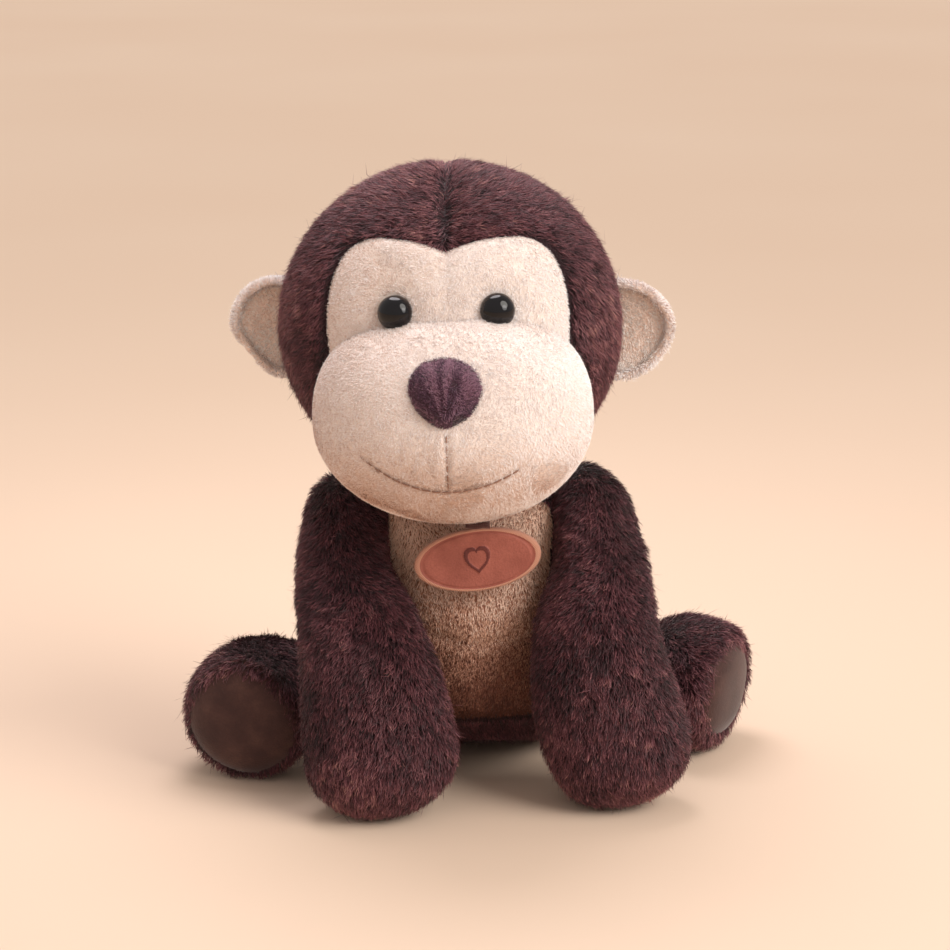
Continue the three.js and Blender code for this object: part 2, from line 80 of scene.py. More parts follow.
class Shader:
    """A Principled material and the nodes that feed it. Lengths for textures are in metres of the object."""

    def __init__(self, name, colour, roughness=0.8, **sockets):
        self.material = bpy.data.materials.new(name)
        self.material.use_nodes = True
        self.tree = self.material.node_tree
        self.bsdf = next(n for n in self.tree.nodes if n.type == "BSDF_PRINCIPLED")
        self.set("Base Color", colour)
        self.set("Roughness", roughness)
        for socket, value in sockets.items():
            self.set(socket.replace("_", " "), value)
        self.material.diffuse_color = colour

    def set(self, socket, value):
        self.bsdf.inputs[socket].default_value = value

    def node(self, kind, **settings):
        made = self.tree.nodes.new(kind)
        for key, value in settings.items():
            if key in made.inputs:
                made.inputs[key].default_value = value
            else:
                setattr(made, key, value)
        return made

    def link(self, out, to):
        self.tree.links.new(out, to)

    def place(self, stretch=(1, 1, 1)):
        """Object coordinates, scaled."""
        coords = self.node("ShaderNodeTexCoord")
        mapping = self.node("ShaderNodeMapping")
        mapping.inputs["Scale"].default_value = stretch
        self.link(coords.outputs["Object"], mapping.inputs["Vector"])
        return mapping.outputs["Vector"]

    def noise(self, size, detail=3, rough=0.55, stretch=(1, 1, 1)):
        made = self.node("ShaderNodeTexNoise", Scale=1 / size, Detail=detail, Roughness=rough)
        self.link(self.place(stretch), made.inputs["Vector"])
        return made.outputs["Fac"]

    def cells(self, size):
        made = self.node("ShaderNodeTexVoronoi", Scale=1 / size)
        self.link(self.place(), made.inputs["Vector"])
        return made.outputs["Distance"]

    def ramp(self, value, *stops):
        """A colour ramp over value. Each stop is (position, colour)."""
        made = self.node("ShaderNodeValToRGB")
        ramp = made.color_ramp
        while len(ramp.elements) < len(stops):
            ramp.elements.new(0.5)
        for element, (position, colour) in zip(ramp.elements, stops):
            element.position = position
            element.color = colour
        self.link(value, made.inputs["Fac"])
        return made.outputs["Color"]

    def mix(self, share, a, b):
        made = self.node("ShaderNodeMix", data_type="RGBA")
        for socket, value in ((made.inputs[0], share), (made.inputs[6], a), (made.inputs[7], b)):
            if isinstance(value, (tuple, float, int)):
                socket.default_value = value
            else:
                self.link(value, socket)
        return made.outputs[2]

    def scaled(self, value, low, high):
        """value, from 0 to 1, taken to the span from low to high."""
        made = self.node("ShaderNodeMapRange")
        made.inputs["To Min"].default_value = low
        made.inputs["To Max"].default_value = high
        self.link(value, made.inputs["Value"])
        return made.outputs["Result"]

    def added(self, a, b, share=1.0):
        made = self.node("ShaderNodeMath", operation="MULTIPLY_ADD")
        self.link(b, made.inputs[0])
        made.inputs[1].default_value = share
        self.link(a, made.inputs[2])
        return made.outputs[0]

    def colour(self, out):
        self.link(out, self.bsdf.inputs["Base Color"])

    def roughness(self, value, low, high):
        self.link(self.scaled(value, low, high), self.bsdf.inputs["Roughness"])

    def bump(self, height, depth):
        made = self.node("ShaderNodeBump", Strength=1.0, Distance=depth)
        self.link(height, made.inputs["Height"])
        self.link(made.outputs["Normal"], self.bsdf.inputs["Normal"])


def cloth_backing(name, dark, light, sheen):
    """The knitted ground that the pile stands in: mottled, with a fine matted relief."""
    s = Shader(name, dark, 0.9, Sheen_Weight=sheen, Sheen_Roughness=0.5, Specular_IOR_Level=0.2)
    mottle = s.noise(9 * MM, 4)
    fine = s.noise(0.8 * MM, 3, 0.6)
    s.colour(s.mix(s.scaled(fine, 0.15, 0.85), s.ramp(mottle, (0.3, dark), (0.7, light)), dark))
    s.roughness(fine, 0.8, 1.0)
    s.bump(s.added(fine, s.cells(1.1 * MM), 0.6), 0.6 * MM)
    return s.material


def short_plush(name, base, warm, shade, low=None):
    """Very short dense pile, brushed to and fro: faint clouds of tone over a fine velvet grain."""
    s = Shader(name, base, 0.85, Sheen_Weight=0.5, Sheen_Roughness=0.45, Specular_IOR_Level=0.2)
    clouds = s.noise(16 * MM, 3)
    grain = s.noise(0.55 * MM, 3, 0.65)
    nap = s.noise(2.2 * MM, 3, 0.6, (1, 1, 0.45))
    tone = s.mix(s.ramp(clouds, (0.35, (0, 0, 0, 1)), (0.75, (1, 1, 1, 1))), base, warm)
    # low, when given, darkens the lower part towards that colour: painted shade under the muzzle
    if low is not None:
        height = s.node("ShaderNodeSeparateXYZ")
        s.link(s.place(), height.inputs[0])
        down = s.node("ShaderNodeMapRange")
        for socket, value in (("From Min", 0.153), ("From Max", 0.128)):
            down.inputs[socket].default_value = value
        s.link(height.outputs["Z"], down.inputs["Value"])
        tone = s.mix(down.outputs["Result"], tone, low)
    s.colour(s.mix(s.ramp(grain, (0.25, (0.35,) * 3 + (1,)), (0.6, (0, 0, 0, 1))), tone, shade))
    s.roughness(grain, 0.7, 1.0)
    s.bump(s.added(grain, nap, 0.8), 0.28 * MM)
    return s.material


def strands(family, *shades):
    """A material for each (name, red, green, blue, sheen), from the darkest root to the lightest tip."""
    def strand(name, r, g, b, sheen=0.3):
        return Shader(f"{family}_{name}", linear(r, g, b), 0.55, Sheen_Weight=sheen, Sheen_Roughness=0.35,
                      Specular_IOR_Level=0.35).material
    return [strand(*shade) for shade in shades]


DARK_TONES = strands("fur", ("root", 36, 17, 21), ("deep", 55, 26, 32), ("mid", 79, 40, 47), ("mauve", 110, 63,
    70), ("dusty", 142, 91, 94), ("tan_tip", 176, 126, 116))
CREAM_TONES = strands("plush", ("peach", 214, 182, 163), ("root", 232, 210, 198), ("low", 243, 231, 226),
    ("mid", 250, 244, 242), ("light", 255, 252, 252))
EAR_TONES = strands("ear", ("root", 240, 204, 184), ("low", 249, 222, 206), ("mid", 254, 237, 226), ("light",
    255, 248, 242))
TAN_TONES = strands("tummy", ("deep", 98, 54, 41), ("root", 146, 94, 74), ("low", 190, 138, 113), ("mid", 226,
    181, 155), ("light", 249, 219, 198))
NOSE_TONES = strands("nose", ("root", 56, 33, 49, 0.5), ("low", 80, 49, 69, 0.5), ("mid", 112, 73, 94, 0.6),
    ("light", 150, 110, 127, 0.6))

dark_backing = cloth_backing("dark_backing", linear(34, 16, 22), linear(62, 34, 41), 0.3)
tan_backing = cloth_backing("tummy_backing", linear(146, 98, 77), linear(196, 148, 122), 0.3)
ear_backing = cloth_backing("ear_backing", linear(249, 224, 208), linear(254, 240, 230), 0.5)
cream_plush = short_plush("cream_plush", linear(247, 237, 230), linear(245, 230, 218), linear(226, 206, 192))
# the muzzle's low colour is painted shade on its underside
muzzle_plush = short_plush("muzzle_plush", linear(250, 241, 235), linear(247, 233, 223), linear(228, 208, 196),
                           low=linear(208, 172, 150))
nose_plush = short_plush("nose_plush", linear(62, 38, 48), linear(80, 52, 60), linear(34, 18, 26))


def suede_material():
    s = Shader("suede", linear(76, 50, 46), 0.85, Sheen_Weight=0.4, Sheen_Roughness=0.4, Specular_IOR_Level=0.3)
    clouds = s.noise(11 * MM, 4)
    fine = s.noise(0.7 * MM, 4, 0.65)
    tone = s.ramp(clouds, (0.25, linear(56, 34, 32)), (0.5, linear(74, 48, 44)), (0.8, linear(98, 68, 60)))
    s.colour(s.mix(s.ramp(fine, (0.3, (0.5,) * 3 + (1,)), (0.65, (0, 0, 0, 1))), tone, linear(42, 25, 24)))
    s.roughness(fine, 0.65, 0.95)
    s.bump(s.added(fine, s.cells(0.9 * MM), 0.3), 0.15 * MM)
    return s.material


def eye_material():
    s = Shader("eye_gloss", linear(6, 6, 9), 0.06, Coat_Weight=0.25, Coat_Roughness=0.02, Specular_IOR_Level=0.3)
    smears = s.noise(3 * MM, 3)
    s.roughness(smears, 0.03, 0.12)
    s.colour(s.ramp(smears, (0.3, linear(5, 5, 8)), (0.8, linear(12, 11, 17))))
    return s.material


def thread_material(name, dark, light):
    s = Shader(name, dark, 0.7, Sheen_Weight=0.3, Sheen_Roughness=0.4)
    twist = s.node("ShaderNodeTexWave", Scale=900.0, Distortion=1.5, bands_direction="DIAGONAL")
    s.link(s.place(), twist.inputs["Vector"])
    s.colour(s.ramp(twist.outputs["Fac"], (0.1, dark), (0.8, light)))
    s.bump(twist.outputs["Fac"], 0.15 * MM)
    return s.material


def leather_material(name, dark, light, pore):
    s = Shader(name, light, 0.6, Sheen_Weight=0.1, Specular_IOR_Level=0.4)
    grain = s.cells(0.9 * MM)
    fine = s.noise(0.5 * MM, 3)
    clouds = s.noise(9 * MM, 3)
    tone = s.ramp(clouds, (0.3, dark), (0.75, light))
    s.colour(s.mix(s.ramp(fine, (0.3, (0.35,) * 3 + (1,)), (0.6, (0, 0, 0, 1))), tone, pore))
    s.roughness(fine, 0.42, 0.7)
    s.bump(s.added(grain, fine, 0.5), 0.12 * MM)
    return s.material


def woven_material(name, dark, light):
    s = Shader(name, dark, 0.75, Sheen_Weight=0.2)
    across = s.node("ShaderNodeTexWave", Scale=420.0, bands_direction="X")
    along = s.node("ShaderNodeTexWave", Scale=420.0, bands_direction="Y")
    place = s.place()
    s.link(place, across.inputs["Vector"])
    s.link(place, along.inputs["Vector"])
    weave = s.added(across.outputs["Fac"], along.outputs["Fac"])
    s.colour(s.ramp(s.scaled(weave, 0, 0.5), (0.1, dark), (0.9, light)))
    s.bump(weave, 0.1 * MM)
    return s.material


def plastic_material():
    s = Shader("washer_plastic", linear(226, 224, 218), 0.4)
    s.bump(s.noise(1.5 * MM), 0.05 * MM)
    s.roughness(s.noise(4 * MM), 0.3, 0.5)
    return s.material


suede = suede_material()
eye_gloss = eye_material()
mouth_thread = thread_material("mouth_thread", linear(142, 100, 82), linear(180, 138, 116))
dark_thread = thread_material("dark_thread", linear(40, 22, 26), linear(84, 54, 58))
tag_leather = leather_material("tag_leather", linear(148, 80, 67), linear(178, 104, 89), linear(116, 60, 50))
tag_dark = leather_material("tag_stamp", linear(96, 40, 36), linear(112, 50, 44), linear(74, 30, 28))
tag_pale = thread_material("tag_rim", linear(186, 128, 106), linear(214, 158, 132))
ribbon = woven_material("ribbon", linear(74, 42, 38), linear(112, 70, 62))
washer_plastic = plastic_material()


# ---- mesh helpers

def new_object(name, mesh, *materials):
    made = bpy.data.objects.new(name, mesh)
    bpy.context.scene.collection.objects.link(made)
    for material in materials:
        mesh.materials.append(material)
    return made


def mesh_from(name, verts, faces, *materials, smooth=True):
    mesh = bpy.data.meshes.new(name)
    mesh.from_pydata([tuple(v) for v in verts], [], [tuple(f) for f in faces])
    mesh.update()
    if smooth:
        mesh.shade_smooth()
    return new_object(name, mesh, *materials)


def dress(piece, body, slot, *replaced, fill=None):
    """Tells the frame a piece's body and hides the CAD nodes it stands for. slot and fill (how full it is stuffed)
    are not used.
    """
    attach(piece, body)
    if replaced:
        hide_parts(*replaced)


def points_of(mesh):
    co = np.empty(len(mesh.vertices) * 3, np.float32)
    mesh.vertices.foreach_get("co", co)
    return co.reshape(-1, 3).astype(float)


def set_points(mesh, points):
    mesh.vertices.foreach_set("co", np.asarray(points, np.float32).ravel())
    mesh.update()


def normals_of(mesh):
    n = np.empty(len(mesh.vertices) * 3, np.float32)
    mesh.vertex_normals.foreach_get("vector", n)
    return n.reshape(-1, 3).astype(float)


def applied(obj):
    """Puts what the modifiers make into the object's own mesh."""
    depsgraph = bpy.context.evaluated_depsgraph_get()
    mesh = bpy.data.meshes.new_from_object(obj.evaluated_get(depsgraph))
    obj.modifiers.clear()
    obj.data = mesh
    mesh.shade_smooth()
    return obj


def modifier(obj, kind, **settings):
    made = obj.modifiers.new(kind.lower(), kind)
    for key, value in settings.items():
        setattr(made, key, value)
    return made


def padded_skin(name, sources, grow, voxel, material, rounds=10):
    """A smooth stuffed form round CAD solids: one voxel skin, relaxed, then blown up again by grow."""
    joined = bmesh.new()
    for source in sources:
        joined.from_mesh(nodes[source].data)
    mesh = bpy.data.meshes.new(name)
    joined.to_mesh(mesh)
    joined.free()
    skin = new_object(name, mesh, material)
    modifier(skin, "REMESH", mode="VOXEL", voxel_size=voxel)
    modifier(skin, "SMOOTH", factor=0.5, iterations=rounds)
    modifier(skin, "DISPLACE", strength=grow, mid_level=0.0)
    modifier(skin, "SUBSURF", levels=1, render_levels=1)
    applied(skin)
    skin.data.materials.clear()
    skin.data.materials.append(material)
    return skin


def wobble(points, size, seed):
    """A smooth random vector for each point, about 1 long, that changes over size."""
    rng = np.random.default_rng(seed)
    total = np.zeros((len(points), 3))
    for _ in range(6):
        waves = rng.normal(size=(3, 3)) / size
        total += np.sin(points @ waves.T + rng.uniform(0, 2 * math.pi, 3))
    return total / math.sqrt(6)


def clamped(value):
    return np.clip(value, 0, 1)


def eased(share):
    return share * share * (3 - 2 * share)


def unit(v):
    return v / np.maximum(np.linalg.norm(v, axis=1, keepdims=True), 1e-9)


# ---- pile

class Ground:
    """A skin's triangles, to scatter roots over."""

    def __init__(self, obj):
        mesh = obj.data
        mesh.calc_loop_triangles()
        tris = np.empty(len(mesh.loop_triangles) * 3, np.int32)
        mesh.loop_triangles.foreach_get("vertices", tris)
        self.tris = tris.reshape(-1, 3)
        self.points = points_of(mesh)
        self.normals = normals_of(mesh)
        a, b, c = (self.points[self.tris[:, k]] for k in range(3))
        self.areas = np.linalg.norm(np.cross(b - a, c - a), axis=1) / 2

    def scatter(self, per_mm2, rng, keep):
        """Roots and their normals: per_mm2 of them where keep(points, normals) is 1, fewer where it is less."""
        count = int(self.areas.sum() * 1e6 * per_mm2)
        chosen = np.searchsorted(np.cumsum(self.areas), rng.uniform(0, self.areas.sum(), count))
        chosen = np.minimum(chosen, len(self.tris) - 1)
        u, v = rng.uniform(size=(2, count))
        flip = u + v > 1
        u[flip], v[flip] = 1 - u[flip], 1 - v[flip]
        share = np.stack([1 - u - v, u, v], axis=1)
        corners = self.tris[chosen]
        roots = (self.points[corners] * share[:, :, None]).sum(axis=1)
        normals = unit((self.normals[corners] * share[:, :, None]).sum(axis=1))
        held = rng.uniform(size=count) < keep(roots, normals)
        return roots[held], normals[held]


def nearest(points, centres):
    tree = KDTree(len(centres))
    for k, c in enumerate(centres):
        tree.insert(c, k)
    tree.balance()
    return np.array([tree.find(p)[1] for p in points], np.int32)


FLOOR_CLEARANCE = 0.3 * MM


def pile(name, skin, tones, per_mm2, length, comb, seed, keep, tone, width, lean, clump, gather, stray,
         levels=(0, 0.4, 0.75, 1), long_share=None, spread=0.35, mottle=1.0):
    """Pile of single flat strands that taper to a point. Lengths and widths are in millimetres.

    comb(points, normals) gives the way the pile lies, lean its angle from upright at the root and at the tip,
    clump the size of a tuft, gather how far tips draw together in one, tone(points) shifts the colour and mottle
    is how unlike neighbours are."""
    rng = np.random.default_rng(seed)
    roots, normals = Ground(skin).scatter(per_mm2, rng, keep)
    count = len(roots)
    way = comb(roots, normals)
    way = unit(way - (way * normals).sum(axis=1, keepdims=True) * normals)
    side = np.cross(normals, way)
    turn = rng.normal(0, spread, count)[:, None]
    way = unit(way * np.cos(turn) + side * np.sin(turn))

    lengths = length * MM * rng.uniform(0.7, 1.15, count)
    if long_share is not None:
        lengths *= long_share(roots, normals)
    strays = rng.uniform(size=count) < stray
    lengths[strays] *= rng.uniform(1.1, 1.5, strays.sum())
    start = np.radians(lean[0] + rng.normal(0, 9, count))
    end = np.radians(lean[1] + rng.normal(0, 13, count))
    end[strays] -= np.radians(30)

    steps = np.linspace(0, 1, 13)
    angle = start[:, None] + (end - start)[:, None] * steps[None, :]
    rise = np.concatenate([np.zeros((count, 1)), np.cumsum(np.cos(angle[:, 1:]), axis=1)], axis=1) / 12
    run = np.concatenate([np.zeros((count, 1)), np.cumsum(np.sin(angle[:, 1:]), axis=1)], axis=1) / 12
    at = [int(round(t * 12)) for t in levels]
    curl_side = rng.normal(0, 1, (count, 1)) * 0.08
    curl_side[strays] *= 3.5
    sideways = np.cross(normals, way)
    line = []
    for t, k in zip(levels, at):
        point = roots + lengths[:, None] * (normals * rise[:, k:k + 1] + way * run[:, k:k + 1])
        point = point + sideways * lengths[:, None] * curl_side * math.sin(math.pi * 1.4 * t)
        point[:, 2] = np.maximum(point[:, 2], FLOOR_CLEARANCE)
        line.append(point)

    centres = np.arange(0, count, max(1, int(per_mm2 * clump * clump)))
    mine = nearest(roots, roots[centres])
    head = centres[mine]
    pull = gather * rng.uniform(0.3, 1.3, count)
    pull[strays] = 0
    for k, t in enumerate(levels):
        share = (pull * t ** 1.5)[:, None]
        offset = (roots - roots[head]) * 0.35
        line[k] = line[k] * (1 - share) + (line[k][head] + offset) * share

    half = width * MM / 2 * rng.uniform(0.75, 1.25, count)
    half[strays] *= 0.7
    rows, verts = len(levels), []
    for k, t in enumerate(levels):
        ahead = line[min(k + 1, rows - 1)] - line[max(k - 1, 0)]
        flat = unit(np.cross(unit(ahead), normals + rng.normal(0, 0.02, (count, 3))))
        tilt = rng.normal(0, 0.5, (count, 1)) if k == 0 else tilt
        flat = unit(flat * np.cos(tilt) + np.cross(unit(ahead), flat) * np.sin(tilt))
        if k == rows - 1:
            verts.append(line[k][:, None, :])
        else:
            w = (half * (1 - 0.55 * t * t))[:, None]
            verts.append(np.stack([line[k] - flat * w, line[k] + flat * w], axis=1))
    per = 2 * (rows - 1) + 1
    points = np.concatenate(verts, axis=1).reshape(-1, 3)

    base = (np.arange(count) * per)[:, None]
    quads = [base + np.array([[2 * k, 2 * k + 1, 2 * k + 3, 2 * k + 2]]) for k in range(rows - 2)]
    tips = base + np.array([[2 * (rows - 2), 2 * (rows - 2) + 1, 2 * (rows - 1)]])
    loops = np.concatenate(quads + [tips], axis=1).ravel()
    sizes = np.tile([4] * (rows - 2) + [3], count)

    level = rng.normal(0, 0.55 * mottle, count) + 1.6
    level += rng.normal(0, 0.45 * mottle, len(centres))[mine]
    level += tone(roots, normals)
    slots = np.stack([level + shift for shift in np.linspace(-0.9, 0.9, rows - 1)], axis=1)
    slots = np.clip(np.round(slots), 0, len(tones) - 1).astype(np.int32).ravel()

    mesh = bpy.data.meshes.new(name)
    mesh.vertices.add(len(points))
    mesh.vertices.foreach_set("co", points.astype(np.float32).ravel())
    mesh.loops.add(len(loops))
    mesh.loops.foreach_set("vertex_index", loops.astype(np.int32))
    mesh.polygons.add(len(sizes))
    starts = np.concatenate([[0], np.cumsum(sizes)[:-1]])
    mesh.polygons.foreach_set("loop_start", starts.astype(np.int32))
    for material in tones:
        mesh.materials.append(material)
    mesh.polygons.foreach_set("material_index", slots)
    mesh.update(calc_edges=True)
    mesh.shade_smooth()
    return new_object(name, mesh)


def downward(points, normals):
    return np.tile([0.0, 0.0, -1.0], (len(points), 1)) + 0.35 * wobble(points, 18 * MM, 5)


# ---- head

HEAD_RADII = np.array([62.0, 54.0, 62.0])
HEAD_PLACE = Matrix.Translation(Vector((-8.9, 1.5, 179.0)) * MM) @ \
    Matrix.Rotation(math.radians(-1.6), 4, "Y") @ Matrix.Rotation(math.radians(-1.2), 4, "Z")
MUZZLE_RADII = np.array([51.2, 44.8, 38.2])
MUZZLE_CENTRE = np.array([1.0, -42.0, -26.5])
EYES = {"right": -18.7, "left": 18.7}
EYE_HEIGHT = 15.0
EYE_RADIUS = 6.4
SKIN_RADII = np.array([62.7, 51.8, 59.8])


def in_head(points):
    """World metres to the head's own millimetres."""
    back = np.array(HEAD_PLACE.inverted())
    return (points @ back[:3, :3].T + back[:3, 3]) * 1000


def turned_in_head(vectors):
    return vectors @ np.array(HEAD_PLACE)[:3, :3].T


def place_head(obj):
    """Takes a mesh made in the head's own millimetres to its place."""
    obj.data.transform(HEAD_PLACE @ Matrix.Scale(MM, 4))
    obj.data.update()
    return obj


def sphere_points(subdivisions):
    ball = bmesh.new()
    bmesh.ops.create_icosphere(ball, subdivisions=subdivisions, radius=1)
    verts = np.array([v.co for v in ball.verts])
    faces = [[v.index for v in f.verts] for f in ball.faces]
    ball.free()
    return unit(verts), faces


def front_of(radii, centre, x, z):
    rest = 1 - ((x - centre[0]) / radii[0]) ** 2 - ((z - centre[2]) / radii[2]) ** 2
    return centre[1] - radii[1] * np.sqrt(np.maximum(rest, 0))


def bezier(a, b, c, d, count):
    t = np.linspace(0, 1, count, endpoint=False)[:, None]
    a, b, c, d = (np.array(p, float) for p in (a, b, c, d))
    return (1 - t) ** 3 * a + 3 * (1 - t) ** 2 * t * b + 3 * (1 - t) * t ** 2 * c + t ** 3 * d


BROW_TOP, BROW_NOTCH, BROW_LOW = 41.5, 37.5, -20
BROW_MIDDLE = np.array([0.0, 8.0])
brow_outline = np.concatenate([
    bezier((-43, BROW_LOW), (-49.5, 8), (-49, BROW_TOP), (-22, BROW_TOP), 60),
    bezier((-22, BROW_TOP), (-10, BROW_TOP), (-5, BROW_NOTCH + 1.5), (0, BROW_NOTCH), 30),
    bezier((0, BROW_NOTCH), (5, BROW_NOTCH + 1.5), (12, BROW_TOP), (24, BROW_TOP - 0.5), 30),
    bezier((24, BROW_TOP - 0.5), (49, BROW_TOP), (49.5, 8), (43, BROW_LOW), 60),
    bezier((43, BROW_LOW), (20, BROW_LOW - 3), (-20, BROW_LOW - 3), (-43, BROW_LOW), 50),
])
brow_angles = np.arctan2(*(brow_outline - BROW_MIDDLE).T[::-1])
brow_order = np.argsort(brow_angles)
brow_reach = np.linalg.norm(brow_outline - BROW_MIDDLE, axis=1)[brow_order]
brow_angles = brow_angles[brow_order]


def beyond_brow(local):
    """How far outside the brow's outline a point of the head lies, in mm, less than 0 inside it."""
    flat = local[:, [0, 2]] - BROW_MIDDLE
    edge = np.interp(np.arctan2(flat[:, 1], flat[:, 0]), brow_angles, brow_reach, period=2 * math.pi)
    out = np.linalg.norm(flat, axis=1) - edge
    return np.where(local[:, 1] < 0, out, 60)


MUZZLE_RISE = 39.6 / MUZZLE_RADII[2]      # the muzzle's upper half is a little higher than its lower half
MUZZLE_SQUARE = 2.5                        # and its corners are fuller than an ellipse's, towards the rim


def fullness(x, z):
    """How far a direction's edge lies outside the unit circle on the muzzle."""
    flat = np.maximum(np.hypot(x, z), 1e-6)
    rim = clamped((flat - 0.4) / 0.5) * (z > 0)
    power = 2 + (MUZZLE_SQUARE - 2) * rim ** 2 * (3 - 2 * rim)
    return (np.abs(x / flat) ** power + np.abs(z / flat) ** power) ** (-1 / power)


def beyond_muzzle(local):
    """How far outside the muzzle a point lies, in mm, about."""
    x, y, z = ((local - MUZZLE_CENTRE) / MUZZLE_RADII).T
    z = np.where(z > 0, z / MUZZLE_RISE, z)
    return (np.sqrt((np.hypot(x, z) / fullness(x, z)) ** 2 + y ** 2) - 1) * 42


def seam_groove(local):
    """1 along the seam between the head's two halves, over the top and down the back, 0 beside it."""
    return np.exp(-(local[:, 0] / 2.2) ** 2) * np.clip((local[:, 2] - 10) / 15, 0.25, 1)


ball, ball_faces = sphere_points(6)
head_points = ball * SKIN_RADII
head_points -= ball * (0.9 * seam_groove(head_points) + 1.6 * (beyond_brow(head_points) < -1.5))[:, None]
head_points += wobble(head_points, 22, 11) * 0.5
head_skin = place_head(mesh_from("head_skin", head_points, ball_faces, dark_backing))
dress(head_skin, "head", "dark_fur", "head_panel_left", "head_panel_right", "head_stuffing", fill=0.85)


def head_comb(points, normals):
    """Away from the middle seam, then back and down the sides."""
    local = in_head(points)
    x, z = local[:, 0], local[:, 2]
    high = clamped((z - 5) / 35)
    near = np.exp(-np.abs(x) / 30)
    apart = np.tanh(x / 3)
    way = np.stack([apart * (0.35 + 0.9 * high * near), 0.30 + 0.25 * high, -0.75 - 0.35 * (1 - high)], axis=1)
    return turned_in_head(way) + 0.28 * wobble(points, 15 * MM, 21) + 0.15 * wobble(points, 5 * MM, 25)


def head_keep(points, normals):
    local = in_head(points)
    clear = clamped((beyond_brow(local) + 2.0) / 2.4) * clamped((beyond_muzzle(local) - 0.5) / 2)
    under = np.clip((local[:, 2] + 66) / 8, 0.3, 1)
    return clear * under


def head_length(points, normals):
    local = in_head(points)
    edge = clamped(np.minimum(beyond_brow(local) + 4, beyond_muzzle(local) + 2) / 12)
    return 0.62 + 0.38 * edge


def side_tone(amount, size, seed, bias=0.0):
    def tone(points, normals):
        return amount * wobble(points, size * MM, seed)[:, 0] + bias
    return tone


for half, sign, seed in (("right", -1, 101), ("left", 1, 102)):
    def keep(points, normals, sign=sign):
        return head_keep(points, normals) * (sign * in_head(points)[:, 0] > 0)
    fur = pile(f"head_pile_{half}", head_skin, DARK_TONES, 4.2, 6.0, head_comb, seed, keep=keep, width=0.26,
               lean=(44, 82), clump=2.8, gather=0.36, stray=0.008, levels=(0, 0.5, 1), spread=0.28,
               tone=side_tone(0.4, 12, 31, 0.25), long_share=head_length)
    dress(fur, "head", "dark_fur")


# the cream brow, a heart on the front of the head, sunk into its seam and drawn in round the eyes
def brow_mesh():
    rings, around = 44, 220
    angles = np.linspace(-math.pi, math.pi, around, endpoint=False)
    edge = np.interp(angles, brow_angles, brow_reach, period=2 * math.pi)
    verts, faces = [[BROW_MIDDLE[0], 0.0, BROW_MIDDLE[1]]], []
    for ring in range(1, rings + 1):
        reach = edge * (ring / rings)
        for a, r in zip(angles, reach):
            verts.append([BROW_MIDDLE[0] + r * math.cos(a), 0.0, BROW_MIDDLE[1] + r * math.sin(a)])
    verts = np.array(verts)
    for k in range(around):
        faces.append([0, 1 + k, 1 + (k + 1) % around])
    for ring in range(rings - 1):
        low, high = 1 + ring * around, 1 + (ring + 1) * around
        for k in range(around):
            n = (k + 1) % around
            faces.append([low + k, high + k, high + n, low + n])
    x, z = verts[:, 0], verts[:, 2]
    verts[:, 1] = front_of(HEAD_RADII, np.zeros(3), x, z)
    normal = unit(verts / HEAD_RADII ** 2)
    inside = -beyond_brow(verts)
    lift = -0.2 - 3.4 * np.exp(-np.maximum(inside, 0) / 2.0)
    for side in EYES.values():
        far = np.hypot(x - side, z - EYE_HEIGHT)
        lift += -1.7 * np.exp(-(far / 8.0) ** 2) + 0.5 * np.exp(-((far - 12) / 4.5) ** 2)
    lift += -0.8 * np.exp(-(x / 2.5) ** 2) * clamped((z - 14) / 15)
    verts += normal * lift[:, None] + wobble(verts, 12, 12) * 0.25
    return verts, faces


brow = place_head(mesh_from("brow_plush", *brow_mesh(), cream_plush))
modifier(brow, "SOLIDIFY", thickness=1.6 * MM, offset=-1.0)
applied(brow)
dress(brow, "head", "cream_plush", "brow_panel", fill=0.8)

# the stuffed muzzle, creased along the mouth and under the nose
SMILE_RIGHT, SMILE_LEFT, SMILE_LOW = -32.0, 27.5, -44.5


def smile_height(x):
    return SMILE_LOW + np.where(x < 0, 13.2 * (x / SMILE_RIGHT) ** 2, 8.6 * (x / SMILE_LEFT) ** 2)


def smile_reach(x, soft):
    """1 between the ends of the smile, fading out over soft mm."""
    return clamped((SMILE_LEFT + 2 - x) / soft) * clamped((x - SMILE_RIGHT + 2) / soft)


def pucker(x, z):
    """1 along the fine folds that fan out from the foot of the upright seam, 0 between them."""
    angle, far = np.arctan2(x, z - SMILE_LOW + 2), np.hypot(x, z - SMILE_LOW + 2)
    fan = np.exp(-(np.sin(6.5 * angle + 0.6 * np.sin(far / 4)) / 0.22) ** 2)
    return fan * clamped((far - 5) / 4) * clamped((24 - far) / 8) * (z > smile_height(x))


def muzzle_surface():
    sphere, faces = sphere_points(7)
    full = fullness(sphere[:, 0], sphere[:, 2])
    shape = sphere * np.stack([full, np.ones(len(full)), full * np.where(sphere[:, 2] > 0, MUZZLE_RISE, 1)], axis=1)
    verts = shape * MUZZLE_RADII + MUZZLE_CENTRE
    x, z = verts[:, 0], verts[:, 2]
    front = clamped((-60 - verts[:, 1]) / 12)
    mouth = np.exp(-((z - smile_height(x)) / 1.5) ** 2) * smile_reach(x, 5)
    upright = np.exp(-(x / 1.5) ** 2) * clamped((z - SMILE_LOW) / 2) * clamped((-20 - z) / 2)
    soft = np.exp(-((z - smile_height(x)) / 7) ** 2) * smile_reach(x, 14)
    creases = 0.8 * np.maximum(mouth, upright) + 0.9 * soft + 0.3 * pucker(x, z)
    verts -= sphere * (front * creases)[:, None]
    under_nose = np.exp(-(np.hypot(x, (z + 8) * 1.1) / 15) ** 4)
    verts -= sphere * (front * 0.8 * under_nose)[:, None]
    return verts + wobble(verts, 20, 13) * 0.45, faces


muzzle = place_head(mesh_from("muzzle_plush", *muzzle_surface(), muzzle_plush))
dress(muzzle, "head", "cream_plush", "muzzle_cover", fill=0.9)


